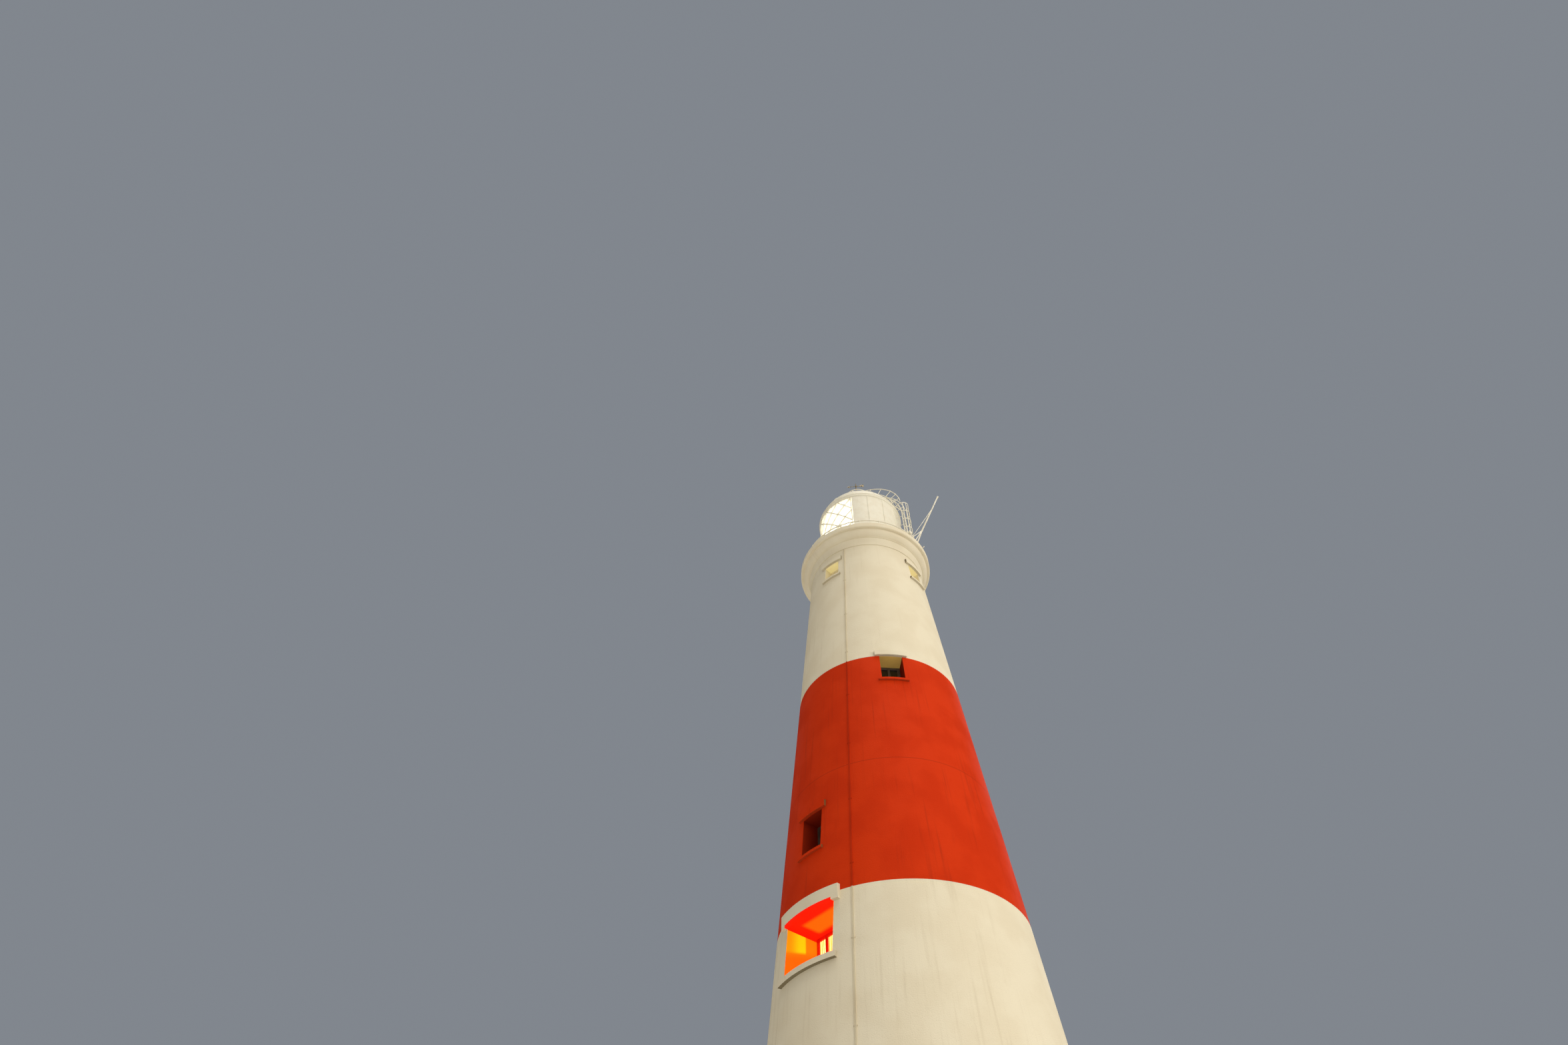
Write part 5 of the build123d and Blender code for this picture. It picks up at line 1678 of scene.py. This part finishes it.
@dataclass(frozen=True)
class RoofRails:
    """Ball joints and foot flanges of the handrails over the dome and of the ventilator's ring."""

    across: float = 0.148
    arc_radius: float = 1.205
    arc_centre: float = 18.603
    angles: tuple[float, ...] = (12.0, 23.0, 35.0, 52.0, 68.0)
    knob_radius: float = 0.0165
    ring_radius: float = 0.325
    ring_posts: int = 6

    def stanchions(self) -> tuple[Array, Array, Array]:
        """Each stanchion's foot on the dome, head on the handrail and direction, for both handrails.

        The head is on the handrail's arc, and the foot is where the line from it to the dome's
        centre, in the ladder's upright plane, meets the skin at that distance to one side.
        """
        turn = np.radians(self.angles)
        out, side = outward(LADDER_BEARING), sideways(LADDER_BEARING)
        reach, rise = self.arc_radius * np.cos(turn), self.arc_centre + self.arc_radius * np.sin(turn)
        heads = out * reach[:, None] + UPRIGHT * rise[:, None]
        centre = UPRIGHT * DOME_CENTRE
        feet = centre + unit(heads - centre) * np.sqrt(DOME_RADIUS**2 - self.across**2)
        shift = BOTH_WAYS[:, None, None] * self.across * side
        axes = np.tile(unit(heads - feet), (2, 1))
        return (feet + shift).reshape(-1, 3), (heads + shift).reshape(-1, 3), axes

    def ring_places(self) -> tuple[Array, Array]:
        """The foot on the dome and the head on the ventilator's ring of each of its posts."""
        bearings = bearings_round(self.ring_posts, LADDER_BEARING + TURN / self.ring_posts / 2)
        seat = DOME_CENTRE + np.sqrt(DOME_RADIUS**2 - self.ring_radius**2)
        level = self.arc_centre + np.sqrt(self.arc_radius**2 - self.ring_radius**2)
        return around(self.ring_radius, seat, bearings), around(self.ring_radius, level, bearings)

    def build(self) -> None:
        """A ball on each head, a flange on each foot, and the same for the ring's posts."""
        feet, heads, axes = self.stanchions()
        ring_feet, ring_heads = self.ring_places()
        side = sideways(LADDER_BEARING)
        knob = ball(self.knob_radius, 14)
        profile = [
            (0.022, -0.006), (0.022, 0.003), (0.018, 0.005), (0.011, 0.006), (0.0095, 0.016),
            (0.0085, 0.017),
        ]
        flange = lathe(profile, 14)
        balls = joined(knob.stamped(heads, axes, side), knob.standing(ring_heads))
        flanges = joined(flange.stamped(feet, axes, side), flange.standing(ring_feet))
        add_piece("handrail_balls", balls, Slot.WHITE_METAL)
        add_piece("handrail_flanges", flanges, Slot.WHITE_METAL)


@dataclass(frozen=True)
class Mast:
    """The leaning aerial mast: a tapered tube with a ball, on two legs, with a strut and a long stay."""

    bearing: float = 64.5
    knee: tuple[float, float] = (1.615, 17.200)
    tip: tuple[float, float] = (2.177, 18.170)
    tube_rods: tuple[float, float] = (0.0200, 0.0145)
    tip_ball: float = 0.026
    knee_ball: float = 0.024
    foot_radius: float = 1.490
    leg_bearings: tuple[float, float] = (56.0, 59.5)
    leg_rods: tuple[float, float] = (0.0110, 0.0155)
    strut_bearing: float = 56.5
    strut_rod: float = 0.0095
    stay_bearing: float = 51.0
    stay_share: float = 0.63
    stay_rods: tuple[float, float] = (0.0045, 0.0075)
    knob_shares: tuple[float, ...] = (0.51, 0.85)
    knob_radius: float = 0.013

    def bar(self, foot: Array, head: Array, low: float, high: float) -> Shape:
        """A round bar between two points, from the radius low at its foot to high at its head."""
        way = head - foot
        length = float(np.linalg.norm(way))
        rings = [(low - 0.002, 0.0), (low, 0.004), (high, length - 0.004), (high - 0.002, length)]
        return lathe(rings, 20).stamped(foot, unit(way))

    def tube(self, low: Array, high: Array) -> Shape:
        """The tapered tube from a little under the knee up to the tip, with their balls and a collar."""
        axis = unit(high - low)
        collar = lathe([(0.015, -0.020), (0.020, -0.016), (0.020, 0.010), (0.015, 0.014)], 16)
        return joined(
            collar.stamped(high - 0.030 * axis, axis),
            self.bar(low - 0.020 * axis, high - 0.010 * axis, *self.tube_rods),
            ball(self.tip_ball, 20).stamped(high, axis),
            ball(self.knee_ball, 20).stamped(low, axis),
        )

    def strut(self, knee: Array) -> Shape:
        """The strut from the gallery's rail to the knee."""
        on_rail = around(RAIL_RADIUS, RAIL_LEVEL, self.strut_bearing)
        return self.bar(on_rail + 0.010 * unit(knee - on_rail), knee, self.strut_rod, self.strut_rod)

    def stay(self, low: Array, high: Array) -> Shape:
        """The stay from the kerb to a place up the tube, with its two knobs."""
        foot = around(self.foot_radius, KERB_LEVEL, self.stay_bearing)
        head = low + (high - low) * self.stay_share
        knobs = foot + (head - foot) * np.array(self.knob_shares)[:, None]
        return joined(
            self.bar(foot - 0.002 * UPRIGHT, head, *self.stay_rods),
            ball(self.knob_radius, 16).stamped(knobs, unit(head - foot)),
        )

    def build(self) -> None:
        """The whole mast in place of the CAD one, its two legs on bolted plates on the kerb."""
        low, high = (around(radius, level, self.bearing) for radius, level in (self.knee, self.tip))
        feet = around(self.foot_radius, KERB_LEVEL, np.array(self.leg_bearings))
        plate = lathe([(0.024, -0.001), (0.024, 0.004), (0.020, 0.006), (0.012, 0.007), (0.010, 0.018)], 16)
        legs = [self.bar(foot + 0.004 * UPRIGHT, low, rod, rod) for foot, rod in zip(feet, self.leg_rods)]
        mast = joined(
            plate.standing(feet), self.tube(low, high), *legs, self.strut(low), self.stay(low, high)
        )
        add_piece("leaning_mast", mast, Slot.WHITE_METAL, ("aerial_mast",))


@dataclass(frozen=True)
class GalleryFittings:
    """The small box on the gallery's rail and the lead bracket on the rim below the mast."""

    box_bearing: float = 51.5
    box_radius: float = 1.462
    box_back: float = 0.012
    box_level: float = 16.885
    box_size: tuple[float, float, float] = (0.078, 0.100, 0.046)
    screw_inset: float = 0.014
    clamp_spread: float = 1.1
    rim_radius: float = 1.535
    bracket_bearing: float = 65.2
    bracket_level: float = 16.600
    bracket_reach: float = 0.045
    bracket_bend: float = 1.1

    def box(self) -> Shape:
        """A cast box with a stepped lid and four screws, drawn with its back on the origin.

        Each level of its height has the same chamfered outline, drawn in by that level's inset.
        """
        wide, high, deep = self.box_size
        steps = np.array(
            [
                (0.004, 0.0), (0.0, 0.004), (0.0, 0.026), (0.003, 0.027), (0.003, 0.029),
                (-0.002, 0.030), (-0.002, deep - 0.005), (0.003, deep),
            ]
        )
        outline = oblong(wide, high, 0.012)
        scale = 1.0 - steps[:, None, :1] * 2.0 / np.array([wide, high])
        rise = np.broadcast_to(steps[:, None, 1:], (len(steps), len(outline), 1))
        grid = np.concatenate([outline[None] * scale, rise], axis=-1)
        spots = np.array([(x, y, deep) for x in BOTH_WAYS for y in BOTH_WAYS])
        spots[:, :2] *= np.array([wide, high]) / 2 - self.screw_inset
        return joined(skin(grid), rivet(0.005, 0.003).standing(spots))

    def conduit(self) -> Shape:
        """A pipe from the box's foot straight down to a flange on the kerb's top."""
        foot = outward(self.box_bearing) * (self.box_radius + 0.010) + UPRIGHT * KERB_LEVEL
        length = self.box_level - self.box_size[1] / 2 - KERB_LEVEL + 0.004
        profile = [(0.022, 0.0), (0.022, 0.004), (0.012, 0.006), (0.008, 0.010), (0.008, length)]
        return lathe(profile, 14).standing(foot)

    def clamps(self) -> Shape:
        """Two rings round the rail that carry the box."""
        profile = [(0.0142, -0.007), (0.0185, -0.006), (0.0185, 0.006), (0.0142, 0.007)]
        bearings = self.box_bearing + BOTH_WAYS * self.clamp_spread
        return lathe(profile, 16).stamped(around(RAIL_RADIUS, RAIL_LEVEL, bearings), sideways(bearings))

    def bracket(self) -> Shape:
        """A round plate on the rim, an arm that bends up and outwards from it, and a knob at its end."""
        out = outward(self.bracket_bearing)
        foot = around(self.rim_radius, self.bracket_level, self.bracket_bearing)
        bend, reach = self.bracket_bend, self.bracket_reach
        turn = np.linspace(0.0, bend, 8)[:, None]
        arm = foot + out * reach * np.sin(turn) / np.sin(bend) + UPRIGHT * reach * (1 - np.cos(turn))
        plate = lathe([(0.024, -0.001), (0.024, 0.004), (0.018, 0.006), (0.009, 0.007)], 16)
        return joined(
            plate.stamped(foot, out),
            swept(arm, disc(0.0065), sideways(self.bracket_bearing)),
            ball(0.015, 14).standing(arm[-1]),
        )

    def build(self) -> None:
        """The box with its clamps and pipe, then the bracket."""
        out = outward(self.box_bearing)
        back = out * self.box_radius + UPRIGHT * self.box_level - out * self.box_back
        box = joined(self.box().stamped(back, out), self.clamps(), self.conduit())
        add_piece("rail_box", box, Slot.WHITE_METAL)
        add_piece("rim_bracket", self.bracket(), Slot.WHITE_METAL)


@dataclass(frozen=True)
class Optic:
    """The lens drum's prisms, its bronze frame, the lamp inside and the pedestal's trim."""

    foot: float = 17.080
    head: float = 18.330
    inner: float = 0.385
    outer: float = 0.430
    crest: float = 0.453
    prisms: int = 24
    prism_gap: float = 0.001
    crest_share: float = 0.86
    ribs: int = 8
    belt: float = 0.42
    bulb_radius: float = 0.075
    bulb_rise: float = 0.12
    column_radius: float = 0.200
    mouldings: tuple[float, ...] = (16.500, 16.76, 17.035)
    bolt_circle: float = 0.235
    bolt_level: float = 16.480
    flange_bolts: int = 12

    def prism_rings(self) -> Shape:
        """Stepped glass: each ring's face slopes from the crest nearest the lamp's level back to the wall.

        For ring k the outside goes from the wall's radius at its far edge to the crest at its near
        edge, with the rings of the upper half turned over.
        """
        pitch = (self.head - self.foot) / self.prisms
        ring = np.arange(self.prisms)
        low = self.foot + pitch * ring
        below = ring < self.prisms / 2
        crest = low + pitch * np.where(below, self.crest_share, 1.0 - self.crest_share)
        levels = np.stack([low + self.prism_gap, crest, low + pitch - self.prism_gap], axis=-1)
        radii = np.broadcast_to((self.outer, self.crest, self.outer), levels.shape)
        rows = np.stack([radii, levels], axis=-1).reshape(-1, 2)
        profile = np.concatenate([rows, [(self.inner, self.head), (self.inner, self.foot)]])
        return lathe(profile, 72, ring=True)

    def frame(self) -> Shape:
        """Bronze rings round the drum's foot, belt and head, joined by upright ribs."""
        radius = self.crest + 0.002
        levels = (self.foot + 0.014, self.foot + self.belt, self.head - self.belt, self.head - 0.014)
        rings = [hoop(radius, level, oblong(0.024, 0.012, 0.003), 72) for level in levels]
        bearings = bearings_round(self.ribs, 11.0)
        feet, heads = (around(radius, level, bearings) for level in (self.foot + 0.004, self.head - 0.004))
        ribs = [
            swept(np.stack([low, high]), oblong(0.016, 0.016, 0.004), outward(bearing))
            for low, high, bearing in zip(feet, heads, bearings)
        ]
        cap = lathe([(0.455, 18.316), (0.455, 18.330), (0.25, 18.3305), (0.05, 18.3305)], 48)
        return joined(*rings, *ribs, cap)

    def lamp(self) -> Shape:
        """A glass bulb on the tower's axis, halfway up the drum."""
        turn = np.linspace(-1.45, 1.50, 18)
        radius, level = self.bulb_radius * np.cos(turn), self.bulb_rise * np.sin(turn)
        return lathe(np.stack([radius, (self.foot + self.head) / 2 + level], axis=-1))

    def holder(self) -> Shape:
        """The lamp's turned holder, from the drum's floor up to the bulb."""
        profile = [
            (0.11, 17.124), (0.11, 17.140), (0.06, 17.155), (0.035, 17.20), (0.035, 17.50),
            (0.055, 17.52), (0.055, 17.585), (0.030, 17.600),
        ]
        return lathe(profile)

    def pedestal_trim(self) -> Shape:
        """Bolts round the pedestal's foot flange, and three mouldings round its column."""
        bolts = around(self.bolt_circle, self.bolt_level, bearings_round(self.flange_bolts))
        rings = [hoop(self.column_radius, level, disc(0.010), 48) for level in self.mouldings]
        return joined(nut(0.009, 0.010).standing(bolts), *rings)

    def build(self) -> None:
        """The lens in place of its CAD drum, and the trim round it."""
        add_piece("optic_prisms", self.prism_rings(), Slot.LENS_GLASS, ("optic_lens",))
        add_piece("optic_frame", self.frame(), Slot.BRONZE)
        add_piece("optic_lamp", self.lamp(), Slot.LENS_GLASS)
        add_piece("optic_lamp_holder", self.holder(), Slot.BRONZE)
        add_piece("pedestal_trim", self.pedestal_trim(), Slot.PEDESTAL_PAINT)


@dataclass(frozen=True)
class Lamp:
    """A soft far lamp.

    Its bearing and its height over the horizon say where it stands, its strength is its power on a
    face square to it, and its spread is its apparent width, with all angles in degrees.
    """

    name: str
    bearing: float
    height: float
    strength: float
    colour: Colour
    spread: float

    def build(self) -> None:
        """Puts the lamp into the scene."""
        light = bpy.data.lights.new(self.name, "SUN")
        light.energy = self.strength
        light.color = self.colour
        light.angle = np.radians(self.spread)
        lamp = bpy.data.objects.new(self.name, light)
        lamp.rotation_euler = (np.radians(90.0 - self.height), 0.0, np.radians(self.bearing))
        bpy.context.scene.collection.objects.link(lamp)


@dataclass(frozen=True)
class Surroundings:
    """The pale floor, the backdrop, the lamps and the camera at the photograph's angle.

    The light is a warm key from the right with weaker lamps over, before and behind the tower, and
    a faint cool fill from the left.
    """

    floor_half: float = 6000.0
    floor_pale: Colour = (0.82, 0.80, 0.76)
    floor_paler: Colour = (0.86, 0.84, 0.80)
    backdrop: Colour = (0.22, 0.24, 0.27)
    ambient: Colour = (1.0, 0.93, 0.82)
    ambient_strength: float = 0.20
    lamps: tuple[Lamp, ...] = (
        Lamp("key", 64.0, 14.0, strength=1.40, colour=(1.0, 0.94, 0.84), spread=50.0),
        Lamp("top", 20.0, 72.0, strength=1.25, colour=(1.0, 0.96, 0.88), spread=40.0),
        Lamp("front", 25.0, 5.0, strength=0.70, colour=(1.0, 0.96, 0.88), spread=30.0),
        Lamp("fill", -85.0, 15.0, strength=0.14, colour=(0.86, 0.92, 1.0), spread=50.0),
        Lamp("back", 165.0, 30.0, strength=0.6, colour=(0.9, 0.95, 1.0), spread=40.0),
    )
    camera_place: tuple[float, float, float] = (0.0, -13.5, 0.65)
    focal_length: float = 19.85
    sensor: float = 36.0
    sight: float = 20000.0
    pitch: float = 0.93286
    yaw: float = -0.14613
    roll: float = 0.01428

    def world(self) -> None:
        """A world that lights softly and shows the plain backdrop to the camera and in gloss."""
        world = bpy.data.worlds.new("studio")
        bpy.context.scene.world = world
        world.use_nodes = True
        tree = world.node_tree
        tree.nodes.clear()
        light = tree.nodes.new("ShaderNodeBackground")
        light.inputs["Color"].default_value = (*self.ambient, 1.0)
        light.inputs["Strength"].default_value = self.ambient_strength
        shown = tree.nodes.new("ShaderNodeBackground")
        shown.inputs["Color"].default_value = (*self.backdrop, 1.0)
        rays = tree.nodes.new("ShaderNodeLightPath")
        seen = rays.outputs["Is Camera Ray"]
        for name in ("Is Glossy Ray", "Is Transmission Ray"):
            either = tree.nodes.new("ShaderNodeMath")
            either.operation = "MAXIMUM"
            tree.links.new(seen, either.inputs[0])
            tree.links.new(rays.outputs[name], either.inputs[1])
            seen = either.outputs[0]
        blend = tree.nodes.new("ShaderNodeMixShader")
        for result, socket in zip((seen, light.outputs[0], shown.outputs[0]), blend.inputs):
            tree.links.new(result, socket)
        output = tree.nodes.new("ShaderNodeOutputWorld")
        tree.links.new(blend.outputs[0], output.inputs["Surface"])

    def floor(self) -> None:
        """A wide pale floor under the tower."""
        graph = Graph("pale_floor")
        cloud = graph.noise(0.4, 4.0)
        graph.set(Base_Color=graph.mix(cloud, self.floor_pale, self.floor_paler), Roughness=0.9)
        half = self.floor_half
        mesh = bpy.data.meshes.new("floor")
        corners = [(-half, -half, 0.0), (half, -half, 0.0), (half, half, 0.0), (-half, half, 0.0)]
        mesh.from_pydata(corners, [], [(0, 1, 2, 3)])
        mesh.materials.append(graph.material)
        floor = bpy.data.objects.new("floor", mesh)
        bpy.context.scene.collection.objects.link(floor)

    def camera(self) -> None:
        """The camera: its forward axis from yaw and pitch, then rolled about that axis."""
        reach, rise = np.cos(self.pitch), np.sin(self.pitch)
        ahead = np.array([np.sin(self.yaw) * reach, np.cos(self.yaw) * reach, rise])
        right = np.array([np.cos(self.yaw), -np.sin(self.yaw), 0.0])
        up = np.cross(right, ahead)
        level, tilt = np.cos(self.roll), np.sin(self.roll)
        place = np.eye(4)
        place[:3, :3] = np.stack([level * right + tilt * up, level * up - tilt * right, -ahead], axis=-1)
        place[:3, 3] = self.camera_place
        data = bpy.data.cameras.new("camera")
        data.lens = self.focal_length
        data.sensor_width = self.sensor
        data.clip_end = self.sight
        camera = bpy.data.objects.new("camera", data)
        camera.matrix_world = Matrix(place.tolist())
        bpy.context.scene.collection.objects.link(camera)
        bpy.context.scene.camera = camera

    def build(self) -> None:
        """Sets up the world, the floor, the lamps, the camera and the view transform."""
        self.world()
        self.floor()
        for lamp in self.lamps:
            lamp.build()
        self.camera()
        bpy.context.scene.view_settings.view_transform = "Standard"


def dress_frame() -> None:
    """Gives every CAD node the finish of its material slot."""
    for sub in frame["record"]["subparts"]:
        name = sub["node"]
        node = frame["nodes"][name]
        node.data.materials.clear()
        node.data.materials.append(OWN_FINISH.get(name) or MATERIALS[Slot(sub["material_slot"])])
        LOG.info("%s: finish %s", name, node.data.materials[0].name)


def main() -> None:
    """Builds the view, dresses the tower's nodes, then adds the fine pieces from the ground up."""
    logging.basicConfig(level=logging.INFO, format="%(name)s: %(message)s")
    Surroundings().build()
    dress_frame()
    shaft = Shaft()
    windows = Windows(shaft)
    parts = (
        windows, Hoods(shaft, windows.small()), Doorway(), Conductor(shaft), GalleryRail(), LanternWall(),
        Glazing(), Roof(), Vane(), LadderAndCage(), RoofRails(), Mast(), GalleryFittings(), Optic(),
    )
    for part in parts:
        part.build()


if __name__ == "__main__":
    main()
